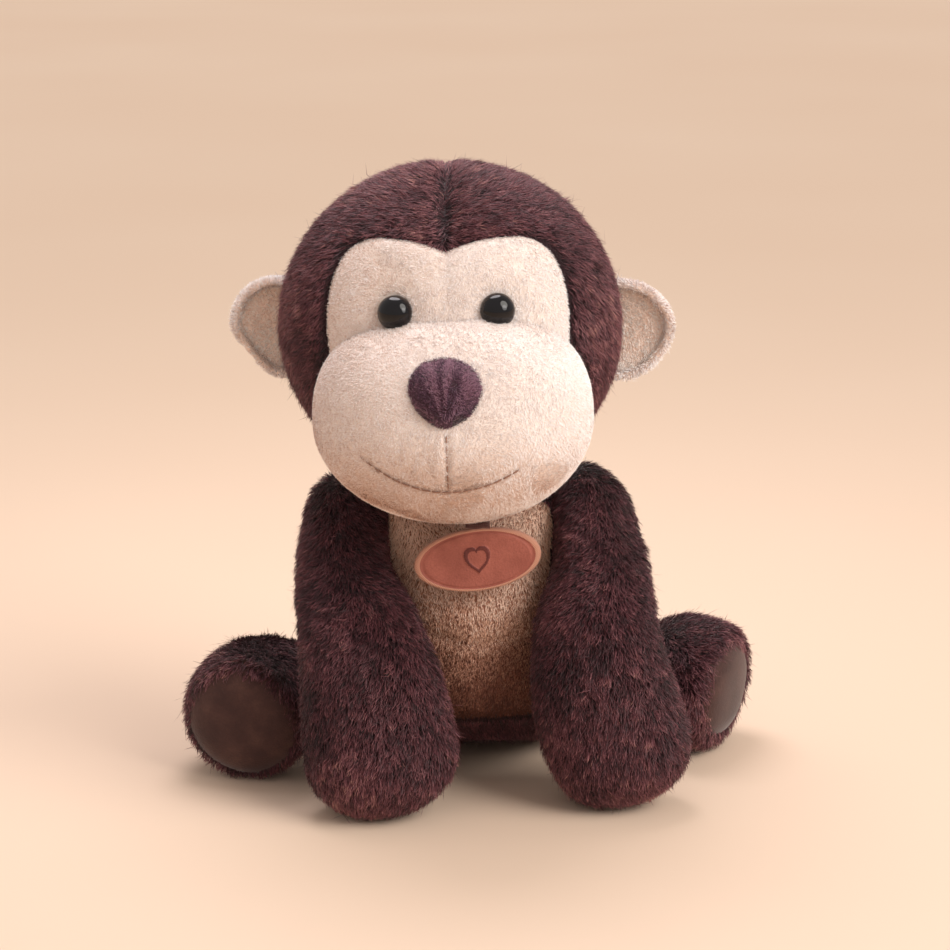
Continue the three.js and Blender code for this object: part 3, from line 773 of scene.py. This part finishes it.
def face_comb(points, normals):
    local = in_head(points)
    way = np.stack([local[:, 0] * 0.012, np.full(len(local), 0.1), np.full(len(local), -0.6)], axis=1)
    return turned_in_head(way) + 0.7 * wobble(points, 9 * MM, 22)


def brow_keep(points, normals):
    local = in_head(points)
    eyes = np.ones(len(local))
    for side in EYES.values():
        eyes *= np.hypot(local[:, 0] - side, local[:, 2] - EYE_HEIGHT) > EYE_RADIUS - 0.3
    return eyes * (normals[:, 1] < -0.05) * (beyond_muzzle(local) > -1)


NOSE_MIDDLE = np.array([0.0, -8.0])


def muzzle_keep(points, normals):
    local = in_head(points)
    outside = np.linalg.norm(local / HEAD_RADII, axis=1) > 0.97
    under_nose = np.hypot(local[:, 0], local[:, 2] - NOSE_MIDDLE[1]) < 10
    return outside * ~(under_nose & (local[:, 1] < -60))


def face_shading(points, normals):
    # painted light and shade: lighter towards +X where the key light falls, painted shade towards -X, towards the
    # bottom and along the creases of the mouth and its folds
    local = in_head(points)
    x, z = local[:, 0], local[:, 2]
    low = clamped((-26 - z) / 22)
    side = np.clip((x - 4) / 34, -1, 1)
    lines = pucker(x, z) + np.exp(-((z - smile_height(x)) / 0.8) ** 2) * smile_reach(x, 4)
    return 1.15 + 0.85 * side - 1.25 * low - 0.8 * lines


for name, skin, keep, seed in (("brow_fuzz", brow, brow_keep, 111), ("muzzle_fuzz", muzzle, muzzle_keep, 112)):
    fuzz = pile(name, skin, CREAM_TONES, 6.0, 1.2, face_comb, seed, keep=keep, width=0.2, lean=(30, 70),
                clump=1.6, gather=0.2, stray=0.006, levels=(0, 0.6, 1), tone=face_shading, spread=0.6, mottle=0.5)
    dress(fuzz, "head", "cream_plush")


# the nose, a small stuffed pad on the muzzle
def nose_mesh():
    outline = np.concatenate([
        bezier((0, -12), (5.5, -12), (14.2, -4.5), (14.2, 1.5), 24),
        bezier((14.2, 1.5), (14.2, 7), (8, 10.6), (0, 10.8), 24),
        bezier((0, 10.8), (-8, 10.6), (-13.6, 7), (-13.6, 1.5), 24),
        bezier((-13.6, 1.5), (-13.6, -4.5), (-5.5, -12), (0, -12), 24),
    ])
    rings, around = 22, len(outline)
    verts, faces = [[0.0, 0.0, 0.0]], []
    for ring in range(1, rings + 1):
        for p in outline * (ring / rings):
            verts.append([p[0], 0.0, p[1]])
    verts = np.array(verts)
    share = np.concatenate([[0], np.repeat(np.arange(1, rings + 1) / rings, around)])
    verts[:, 2] += NOSE_MIDDLE[1]
    x, z = verts[:, 0], verts[:, 2]
    root = front_of(MUZZLE_RADII, MUZZLE_CENTRE, x, z) + 2.5
    crown = -89.6 + 0.42 * np.clip(z + 15, 0, 30) + 0.018 * x ** 2
    verts[:, 1] = root + (crown - root) * (1 - share ** 2.5) ** 0.6
    for k in range(around):
        faces.append([0, 1 + (k + 1) % around, 1 + k])
    for ring in range(rings - 1):
        low, high = 1 + ring * around, 1 + (ring + 1) * around
        for k in range(around):
            n = (k + 1) % around
            faces.append([low + k, low + n, high + n, high + k])
    back = len(verts)
    verts = np.vstack([verts, [[0.0, verts[-around:, 1].mean() + 3, NOSE_MIDDLE[1]]]])
    last = 1 + (rings - 1) * around
    faces += [[back, last + k, last + (k + 1) % around] for k in range(around)]
    return verts, faces


nose_verts, nose_faces = nose_mesh()
nose = place_head(mesh_from("nose_pad", nose_verts, [f[::-1] for f in nose_faces], nose_plush))
dress(nose, "head", "nose_plush", "nose", fill=0.9)


def nose_comb(points, normals):
    local = in_head(points)
    way = np.stack([local[:, 0] / 9, np.zeros(len(local)), (local[:, 2] - NOSE_MIDDLE[1] + 7) / 9], axis=1)
    return turned_in_head(way) + 0.5 * wobble(points, 4 * MM, 24)


def nose_highlights(points, normals):
    """Painted highlight: lighter over the top of the dome, with highlight streaks that fan out."""
    local = in_head(points)
    angle = np.arctan2(local[:, 0], local[:, 2] - NOSE_MIDDLE[1] + 9)
    streaks = np.sin(angle * 11 + 2 * np.sin(angle * 4))
    return 1.0 * streaks + 0.8 * np.clip((local[:, 2] - NOSE_MIDDLE[1]) / 10, -0.6, 1) + 0.15


nose_fuzz = pile("nose_fuzz", nose, NOSE_TONES, 9, 1.3, nose_comb, 113, width=0.22, lean=(35, 72),
                 clump=1.4, gather=0.3, stray=0.0, levels=(0, 0.6, 1), tone=nose_highlights, spread=0.15, mottle=0.5,
                 keep=lambda points, normals: (in_head(points)[:, 1] < -66).astype(float))
dress(nose_fuzz, "head", "nose_plush")


# glossy domed eyes in their dimples
def lathe(profile, segments):
    """A closed turned form round +Z from (radius, height) pairs that start and end on the axis."""
    verts, faces = [[0.0, 0.0, profile[0][1]]], []
    for r, h in profile[1:-1]:
        for k in range(segments):
            a = 2 * math.pi * k / segments
            verts.append([r * math.cos(a), r * math.sin(a), h])
    last = len(verts)
    verts.append([0.0, 0.0, profile[-1][1]])
    rows = len(profile) - 2
    for k in range(segments):
        n = (k + 1) % segments
        faces.append([0, 1 + n, 1 + k])
        faces.append([last, last - segments + k, last - segments + n])
        for row in range(rows - 1):
            low, high = 1 + row * segments, 1 + (row + 1) * segments
            faces.append([low + k, low + n, high + n, high + k])
    return np.array(verts), faces


for name, x in EYES.items():
    y = float(front_of(HEAD_RADII, np.zeros(3), x, EYE_HEIGHT))
    normal = Vector((x / HEAD_RADII[0] ** 2, y / HEAD_RADII[1] ** 2, EYE_HEIGHT / HEAD_RADII[2] ** 2)).normalized()
    dome = [(EYE_RADIUS * math.cos(a), 0.6 + 5.4 * math.sin(a)) for a in np.linspace(0, math.pi / 2, 14)]
    profile = [(0, -3), (2, -3), (2, -1.5), (EYE_RADIUS - 0.5, -1.2), (EYE_RADIUS, -0.6)] + dome[:-1] + [(0, 6.0)]
    verts, faces = lathe(profile, 56)
    eye = mesh_from(f"eye_dome_{name}", verts, faces, eye_gloss)
    eye.data.transform(Matrix.Translation(Vector((x, y, EYE_HEIGHT)) - normal * 0.9) @
                       normal.to_track_quat("Z", "Y").to_matrix().to_4x4())
    place_head(eye)
    dress(eye, "head", "eye_gloss", f"eye_{name}")


# the mouth, sewn with short stitches of tonal thread
def stitches(name, line, stitch, gap, radius, material):
    """Short capped stitches along a line of points, all in the head's own millimetres."""
    lengths = np.concatenate([[0], np.cumsum(np.linalg.norm(np.diff(line, axis=0), axis=1))])
    verts, faces, at = [], [], 0.0
    sides = 8
    while at + stitch <= lengths[-1]:
        along = np.linspace(at, at + stitch, 9)
        spine = np.stack([np.interp(along, lengths, line[:, k]) for k in range(3)], axis=1)
        tangent = unit(np.gradient(spine, axis=0))
        across = unit(np.cross(tangent, np.array([0.0, -1.0, 0.0])))
        up = np.cross(across, tangent)
        share = np.linspace(-1, 1, 9)
        bulge = radius * np.sqrt(np.maximum(1 - share ** 6, 0.02))
        sink = 0.5 * share ** 2
        start = len(verts)
        for k in range(9):
            for s in range(sides):
                a = 2 * math.pi * s / sides
                offset = across[k] * math.cos(a) + up[k] * math.sin(a)
                verts.append(spine[k] + offset * bulge[k] + np.array([0, sink[k], 0]))
        for k in range(8):
            for s in range(sides):
                n = (s + 1) % sides
                low, high = start + k * sides, start + (k + 1) * sides
                faces.append([low + s, low + n, high + n, high + s])
        faces.append([start + s for s in range(sides)][::-1])
        faces.append([start + 8 * sides + s for s in range(sides)])
        at += stitch + gap
    return mesh_from(name, np.array(verts), faces, material)


def on_muzzle(x, z, proud):
    radii = MUZZLE_RADII + proud
    return np.stack([x, front_of(radii, MUZZLE_CENTRE, x, z), z], axis=1)


smile_x = np.linspace(SMILE_RIGHT, SMILE_LEFT, 90)
smile = stitches("mouth_stitches", on_muzzle(smile_x, smile_height(smile_x), -0.95), 3.4, 0.35, 0.3, mouth_thread)
upright_z = np.linspace(-22, SMILE_LOW + 1, 40)
upright = stitches("nose_seam_stitches", on_muzzle(np.zeros(40), upright_z, -0.75), 3.4, 0.35, 0.3, mouth_thread)
for piece, node in ((smile, "mouth_thread"), (upright, "nose_seam_thread")):
    place_head(piece)
    dress(piece, "head", "thread", node)


# ---- ears

EAR_RADII = np.array([18.2, 9.5, 18.4])
EAR_TAPER = {-1: 0.42, 1: 0.12}      # how much narrower each ear is at its foot
EAR_CENTRES = {-1: np.array([-65.5, 8.0, -1.2]), 1: np.array([65.5, 8.0, -5.2])}


def ear_mesh(sign):
    """A padded cup open to the front: its profile runs over the back, round the rim and down the hollow."""
    back = [(math.sin(a), math.cos(a)) for a in np.linspace(0, math.pi / 2, 16)]
    rim = [(1.01, -0.10), (0.99, -0.22), (0.94, -0.27), (0.89, -0.20), (0.855, -0.06)]
    hollow = [(0.83 * math.sin(a), 0.1 * math.cos(a)) for a in np.linspace(math.pi / 2, 0, 14)]
    profile = back + rim + hollow[1:]
    verts, faces = lathe(profile, 72)
    ripple = 1 + 0.02 * np.sin(3 * np.arctan2(verts[:, 1], verts[:, 0]) + 1)
    made = np.stack([verts[:, 0] * ripple, verts[:, 2], verts[:, 1] * ripple], axis=1)
    made[:, 0] *= 1 - EAR_TAPER[sign] * clamped(-made[:, 2]) * (sign * made[:, 0] > 0)
    made *= EAR_RADII
    made += EAR_CENTRES[sign]
    return made + wobble(made, 8, 41) * 0.25, faces


def ear_comb(sign):
    def comb(points, normals):
        local = in_head(points) - EAR_CENTRES[sign]
        return turned_in_head(local * np.array([1, 0.3, 1])) + 8 * wobble(points, 6 * MM, 42) + [0, 0, -4]
    return comb


def ear_keep(points, normals):
    return (np.linalg.norm(in_head(points) / (HEAD_RADII - 1), axis=1) > 1).astype(float)


def ear_inside(sign):
    def inside(points):
        local = (in_head(points) - EAR_CENTRES[sign]) / EAR_RADII
        return (np.hypot(local[:, 0], local[:, 2]) < 0.86) & (local[:, 1] < 0.6)
    return inside


for name, sign, seed in (("right", -1, 121), ("left", 1, 122)):
    verts, faces = ear_mesh(sign)
    outside = np.linalg.norm(verts / (HEAD_RADII - 1.5), axis=1) > 1
    faces = [f for f in faces if outside[list(f)].all()]
    ear = mesh_from(f"ear_{name}", verts, faces, ear_backing)
    tidy = bmesh.new()
    tidy.from_mesh(ear.data)
    bmesh.ops.delete(tidy, geom=[v for v in tidy.verts if not v.link_faces], context="VERTS")
    bmesh.ops.holes_fill(tidy, edges=[e for e in tidy.edges if e.is_boundary], sides=0)
    bmesh.ops.recalc_face_normals(tidy, faces=tidy.faces)
    tidy.to_mesh(ear.data)
    tidy.free()
    place_head(ear)
    dress(ear, f"ear_{name}", "ear_plush", f"ear_back_{name}", f"ear_lining_{name}", fill=0.5)
    inside = ear_inside(sign)
    for part, tones, length, keep in (
        ("rim_fuzz", CREAM_TONES, 2.6, lambda p, n, inside=inside: ear_keep(p, n) * ~inside(p)),
        ("lining_fuzz", EAR_TONES, 1.5, lambda p, n, inside=inside: ear_keep(p, n) * inside(p)),
    ):
        fuzz = pile(f"ear_{name}_{part}", ear, tones, 5, length, ear_comb(sign), seed, keep=keep, width=0.26,
                    lean=(35, 72), clump=1.8, gather=0.35, stray=0.02, spread=0.7,
                    tone=side_tone(0.3, 5, 33, 1.1), mottle=0.7)
        dress(fuzz, f"ear_{name}", "ear_plush")


# ---- torso

TORSO_MIDDLE_Y = 0.008
BELLY_HALF = math.radians(60)
FOLD_HEIGHT = 0.060
NECK = (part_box("neck_seam")[0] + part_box("neck_seam")[1]) / 2
BELLY_BOTTOM = 0.0275
CHEST_HEIGHT, CHEST_FADE, CHEST_WIDENING = 0.086, 0.016, 0.30


def belly_angle(points):
    """Angle round the torso from straight ahead."""
    return np.abs(np.arctan2(points[:, 0] + 0.0014, -(points[:, 1] - TORSO_MIDDLE_Y)))


def fold_height(points):
    return FOLD_HEIGHT + 9 * (points[:, 0] - 0.002) ** 2


torso = padded_skin("torso_skin", ["torso_stuffing", "pellet_bag"], 0.6 * MM, 2.6 * MM, dark_backing)
torso.data.materials.append(tan_backing)
torso_points = points_of(torso.data)
on_front = clamped(1.2 - belly_angle(torso_points)) * clamped((torso_points[:, 2] - 0.02) / 0.02)
above = torso_points[:, 2] - fold_height(torso_points)
bulge = 2.6 * np.exp(-((above - 0.013) / 0.012) ** 2) - 2.4 * np.exp(-(above / 0.0035) ** 2)
torso_points += normals_of(torso.data) * (on_front * bulge * MM)[:, None]

# the neck rises into the head, the shoulders reach out to the arms, and the front of the seat curves up off
# the ground
high = eased(clamped((torso_points[:, 2] - CHEST_HEIGHT) / CHEST_FADE))
torso_points[:, 0] *= 1 + CHEST_WIDENING * high
from_neck = np.hypot(torso_points[:, 0] - NECK[0], torso_points[:, 1] - NECK[1])
ridge = 0.010 * np.exp(-((np.abs(torso_points[:, 0]) - 0.033) / 0.013) ** 2)
ridge = ridge + 0.006 * np.exp(-(from_neck / 0.018) ** 4)
torso_points[:, 2] += ridge * high
rounded = np.clip(0.0138 - 0.37 * torso_points[:, 1], 0, 0.022)
low = clamped(torso_points[:, 2] / 0.034)
torso_points[:, 2] += rounded * (1 - low)
set_points(torso.data, torso_points)
for polygon in torso.data.polygons:
    angle = abs(math.atan2(polygon.center.x + 0.0014, TORSO_MIDDLE_Y - polygon.center.y))
    polygon.material_index = int(angle < BELLY_HALF and polygon.center.z > BELLY_BOTTOM)
dress(torso, "torso", "cream_plush", "torso_stuffing", "pellet_bag", "belly_panel", "torso_panel_left",
      "torso_panel_right", "seat_panel", fill=0.7)


def standing(points, normals):
    """1 where pile may stand, 0 underneath where the toy sits on it."""
    return np.clip((points[:, 2] - 0.002) / 0.004, 0.0, 1)


def on_belly(points):
    return (belly_angle(points) < BELLY_HALF) & (points[:, 2] > BELLY_BOTTOM)


def belly_shading(points, normals):
    z = points[:, 2]
    # painted light on the upper chest, painted shadow just under the fold, and darker towards the bottom
    below = clamped((fold_height(points) - z) / 0.005)
    lower = clamped((0.056 - z) / 0.028)
    upper = clamped((z - 0.070) / 0.025)
    return 0.5 + 2.2 * upper - 0.9 * below - 2.0 * lower + 0.25 * wobble(points, 0.01, 43)[:, 0]


belly_pile = pile("belly_pile", torso, TAN_TONES, 5.0, 2.6, downward, 131, width=0.26, lean=(42, 78), clump=2.0,
                  gather=0.25, levels=(0, 0.5, 1), stray=0.01,
                  keep=lambda p, n: standing(p, n) * on_belly(p), tone=belly_shading, mottle=0.45)
back_pile = pile("back_pile", torso, DARK_TONES, 3.0, 6.0, downward, 132, width=0.32, lean=(40, 78), clump=3.0,
                 gather=0.4, levels=(0, 0.5, 1), stray=0.015,
                 keep=lambda p, n: standing(p, n) * ~on_belly(p), tone=side_tone(0.3, 14, 34))
for piece, slot in ((belly_pile, "cream_plush"), (back_pile, "dark_fur")):
    dress(piece, "torso", slot)


# ---- arms

def lit_bottom_tone(height, amount, seed):
    """Lighter towards the bottom: a painted highlight where the tips catch the light."""
    def tone(points, normals):
        low = clamped((height - points[:, 2]) / height)
        return amount * low ** 1.5 + 0.35 * wobble(points, 12 * MM, seed)[:, 0]
    return tone


SHOULDER_MIDDLE, SHOULDER_REACH = -0.0014, 0.050
SHOULDER_HEIGHT, SHOULDER_FADE = 0.090, 0.020      # where the shoulder begins, and the height it eases in over
SHOULDER_ROUND, SHOULDER_STRETCH = 0.012, 0.35     # how round its crest is, how far it stretches to the neck
SHOULDER_SLOPE = {"right": 0.25, "left": 0.65}      # how steeply each shoulder falls away outwards

for name, seed in (("right", 141), ("left", 142)):
    arm = padded_skin(f"arm_{name}_skin", [f"arm_{name}_stuffing"], 1.2 * MM, 2.6 * MM, dark_backing)
    arm_points = points_of(arm.data) + wobble(points_of(arm.data), 20 * MM, seed) * 0.6 * MM
    out = np.abs(arm_points[:, 0] - SHOULDER_MIDDLE) - SHOULDER_REACH
    high = eased(clamped((arm_points[:, 2] - SHOULDER_HEIGHT) / SHOULDER_FADE))
    slope = SHOULDER_SLOPE[name]
    crest = 1.6 * slope * SHOULDER_ROUND * (1 - np.exp(out / SHOULDER_ROUND))
    arm_points[:, 2] += np.where(out < 0, crest, -slope * out) * high
    inward = np.where(out < 0, SHOULDER_STRETCH * out, 0) * high
    arm_points[:, 0] += inward * np.sign(arm_points[:, 0])
    set_points(arm.data, arm_points)
    dress(arm, f"arm_{name}", "dark_fur", f"arm_{name}_stuffing", f"arm_{name}_panel_front",
          f"arm_{name}_panel_back", fill=0.7)
    fur = pile(f"arm_{name}_pile", arm, DARK_TONES, 3.8, 5.2, downward, seed, width=0.27, lean=(46, 80),
               clump=2.8, gather=0.38, keep=standing, tone=lit_bottom_tone(0.05, 1.3, 35), stray=0.015, spread=0.3)
    dress(fur, f"arm_{name}", "dark_fur")


# ---- legs and soles

SOLE_RADII = {"right": 24.2, "left": 22.8}
SOLE_CROWN = 3.6
SOLE_COVER = {"right": 1.0, "left": 8.0}      # how far the pile's roots reach in over the sole's rim


def sole_frame(name):
    """Middle of a sole pad and the way it faces."""
    verts = points_of(nodes[f"sole_pad_{name}"].data)
    middle = (verts.min(axis=0) + verts.max(axis=0)) / 2
    facing = np.linalg.svd(verts - verts.mean(axis=0))[2][2]
    return middle, facing * (-1 if facing[1] > 0 else 1)


def sole_mesh(radius):
    """A crowned round pad, its edge drawn back into the foot. Millimetres, facing +Z."""
    rings, around = 30, 120
    reach = np.linspace(0, 1, rings + 1)[1:]
    profile = [(radius * r, SOLE_CROWN * (1 - r ** 2.4) - 5.5 * r ** 7) for r in reach]
    return lathe([(0, SOLE_CROWN)] + profile + [(radius - 2, -6.5), (0, -6.5)], around)


for name, seed in (("right", 151), ("left", 152)):
    leg = padded_skin(f"leg_{name}_skin", [f"leg_{name}_stuffing"], 1.0 * MM, 2.6 * MM, dark_backing)
    middle, facing = sole_frame(name)
    dress(leg, f"leg_{name}", "dark_fur", f"leg_{name}_stuffing", f"leg_{name}_panel_lower",
          f"leg_{name}_panel_upper", fill=0.75)

    verts, faces = sole_mesh(SOLE_RADII[name])
    verts = verts + wobble(verts, 11, seed) * 0.35
    sole = mesh_from(f"sole_{name}", verts, [f[::-1] for f in faces], suede)
    sole.data.transform(Matrix.Translation(Vector(middle)) @
                        Vector(facing).to_track_quat("Z", "Y").to_matrix().to_4x4() @ Matrix.Scale(MM, 4))
    dress(sole, f"leg_{name}", "suede", f"sole_pad_{name}", fill=0.7)

    def off_sole(points, normals, middle=middle, facing=facing, edge=SOLE_RADII[name] - SOLE_COVER[name]):
        ahead = (points - middle) @ facing
        across = np.linalg.norm(points - middle - ahead[:, None] * facing, axis=1)
        return standing(points, normals) * ~((ahead > -0.002) & (across < edge * MM))

    def foot_comb(points, normals, middle=middle, facing=facing):
        """Forward over the top of the foot, back from the rim lower down."""
        upper = np.clip((points[:, 2] - middle[2]) / 0.012, -1, 1)[:, None]
        return downward(points, normals) + 0.8 * facing * upper

    fur = pile(f"leg_{name}_pile", leg, DARK_TONES, 3.8, 5.2, foot_comb, seed, width=0.27, lean=(44, 80),
               clump=2.8, gather=0.38, keep=off_sole, tone=side_tone(0.4, 12, 36, 0.6), stray=0.02, spread=0.3)
    dress(fur, f"leg_{name}", "dark_fur")


# ---- tail

tail = padded_skin("tail_skin", ["tail_stuffing"], 0.5 * MM, 1.6 * MM, dark_backing, rounds=8)
dress(tail, "tail", "dark_fur", "tail_stuffing", "tail_panel_upper", "tail_panel_lower", fill=0.7)


def tail_comb(points, normals):
    return np.tile([0.9, 0.2, -0.2], (len(points), 1)) + 0.3 * wobble(points, 12 * MM, 44)


tail_pile = pile("tail_pile", tail, DARK_TONES, 3.4, 4.8, tail_comb, 161, width=0.3, clump=2.6, gather=0.4,
                 lean=(40, 76), stray=0.015, levels=(0, 0.5, 1),
                 keep=standing, tone=side_tone(0.3, 10, 37, 0.2))
dress(tail_pile, "tail", "dark_fur")


# ---- tag

TAG_PLACE = Matrix.Translation(Vector((1.1, -33.0, 96.0)) * MM) @ Matrix.Rotation(math.radians(-8), 4, "Y")
TAG_RADII = (24.0, 12.2)
TAG_THICK = 2.2


def heart_depth(x, z, size):
    """Positive inside a heart of about that half width."""
    x, z = x / size, z / size * 1.05 + 0.12
    return 1 - (x * x + (z - 0.55 * np.sqrt(np.abs(x))) ** 2) * 1.35


def tag_mesh():
    rings, around = 46, 180
    verts, faces = [[0.0, 0.0, 0.0]], []
    angles = np.linspace(0, 2 * math.pi, around, endpoint=False)
    shares = np.concatenate([np.linspace(0, 1, rings)[1:], [1.0, 0.99]])
    for share in shares:
        for a in angles:
            verts.append([TAG_RADII[0] * share * math.cos(a), 0.0, TAG_RADII[1] * share * math.sin(a)])
    verts = np.array(verts)
    share = np.concatenate([[0], np.repeat(shares, around)])
    inset = (1 - share) * 15
    groove = np.exp(-((inset - 1.9) / 0.35) ** 2)
    edge = clamped(1 - inset / 0.9) ** 2
    heart = clamped(heart_depth(verts[:, 0], verts[:, 2], 6.0) * 6)
    hollow = clamped(heart_depth(verts[:, 0], verts[:, 2], 4.3) * 5)
    verts[:, 1] = -TAG_THICK / 2 - 0.25 + 0.45 * groove + 0.75 * edge - 0.45 * heart + 0.3 * hollow
    count = len(shares)
    verts[1 + (count - 2) * around:1 + (count - 1) * around, 1] = TAG_THICK / 2 - 0.4
    verts[1 + (count - 1) * around:, 1] = TAG_THICK / 2
    for k in range(around):
        n = (k + 1) % around
        faces.append([0, 1 + k, 1 + n])
        for ring in range(count - 1):
            low, high = 1 + ring * around, 1 + (ring + 1) * around
            faces.append([low + k, high + k, high + n, low + n])
    faces.append([1 + (count - 1) * around + k for k in range(around)])
    return verts, faces, share, heart * (1 - hollow)


tag_verts, tag_faces, tag_rim, tag_heart = tag_mesh()
tag = mesh_from("tag_plate", tag_verts, tag_faces, tag_leather, tag_pale, tag_dark)
for polygon in tag.data.polygons:
    corners = list(polygon.vertices)
    if len(corners) < 10:
        polygon.material_index = 1 if tag_rim[corners].min() > 0.905 else 2 if tag_heart[corners].mean() > 0.5 else 0
tag.data.transform(TAG_PLACE @ Matrix.Scale(MM, 4))
dress(tag, "tag", "tag_leather", "tag")

low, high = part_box("tag_loop")
steps = np.linspace(0, 1, 12)
loop_verts, loop_faces = [], []
for k, t in enumerate(steps):
    y = high.y + (low.y - high.y) * t
    z = low.z + 0.0004 + 0.0012 * math.sin(math.pi * t) - 0.0016 * t ** 4
    for x in np.linspace(low.x, high.x, 8):
        loop_verts.append([x, y, z + 0.0003 * math.cos((x - low.x) * 900)])
for k in range(11):
    for m in range(7):
        loop_faces.append([k * 8 + m, k * 8 + m + 1, (k + 1) * 8 + m + 1, (k + 1) * 8 + m])
loop = mesh_from("tag_ribbon", loop_verts, loop_faces, ribbon)
modifier(loop, "SOLIDIFY", thickness=0.6 * MM, offset=0.0)
applied(loop)
dress(loop, "torso", "ribbon", "tag_loop")


# ---- CAD nodes that stay

KEPT = {
    "neck_seam": dark_thread, "shoulder_seam_left": dark_thread, "shoulder_seam_right": dark_thread,
    "eye_washer_left": washer_plastic, "eye_washer_right": washer_plastic,
}
for name, material in KEPT.items():
    nodes[name].data.materials.clear()
    nodes[name].data.materials.append(material)


# ---- stage and light

floor = mesh_from("floor", [(-12, -12, 0), (12, -12, 0), (12, 12, 0), (-12, 12, 0)], [(0, 1, 2, 3)], smooth=False)
paper = Shader("paper", linear(231, 206, 184), 0.9)
paper.colour(paper.ramp(paper.noise(0.6, 2), (0.3, linear(230, 204, 181)), (0.7, linear(233, 209, 187))))
floor.data.materials.append(paper.material)


def area_light(name, place, size, power, colour):
    lamp = bpy.data.lights.new(name, "AREA")
    lamp.shape = "DISK"
    lamp.size = size
    lamp.energy = power
    lamp.color = colour
    made = bpy.data.objects.new(name, lamp)
    bpy.context.scene.collection.objects.link(made)
    made.location = place
    made.rotation_euler = (Vector((0, 0, 0.12)) - Vector(place)).to_track_quat("-Z", "Y").to_euler()


area_light("side", (0.6, -0.5, 0.5), 0.4, 1.4, (1.0, 0.97, 0.96))
area_light("top", (-0.05, 0.15, 0.6), 0.35, 1.8, (1.0, 0.93, 0.96))

sun = bpy.data.lights.new("key", "SUN")
sun.energy = 1.75
sun.angle = math.radians(40)
sun.color = (1.0, 0.95, 0.88)
key = bpy.data.objects.new("key", sun)
bpy.context.scene.collection.objects.link(key)
key.rotation_euler = Vector((-0.85, 0.5, -0.8)).to_track_quat("-Z", "Y").to_euler()

world = bpy.data.worlds.new("world")
bpy.context.scene.world = world
world.use_nodes = True
sky = world.node_tree.nodes["Background"]
sky.inputs["Color"].default_value = (0.80, 0.72, 0.68, 1)
sky.inputs["Strength"].default_value = 0.76
bpy.context.scene.view_settings.view_transform = "Standard"

bpy.context.view_layer.update()
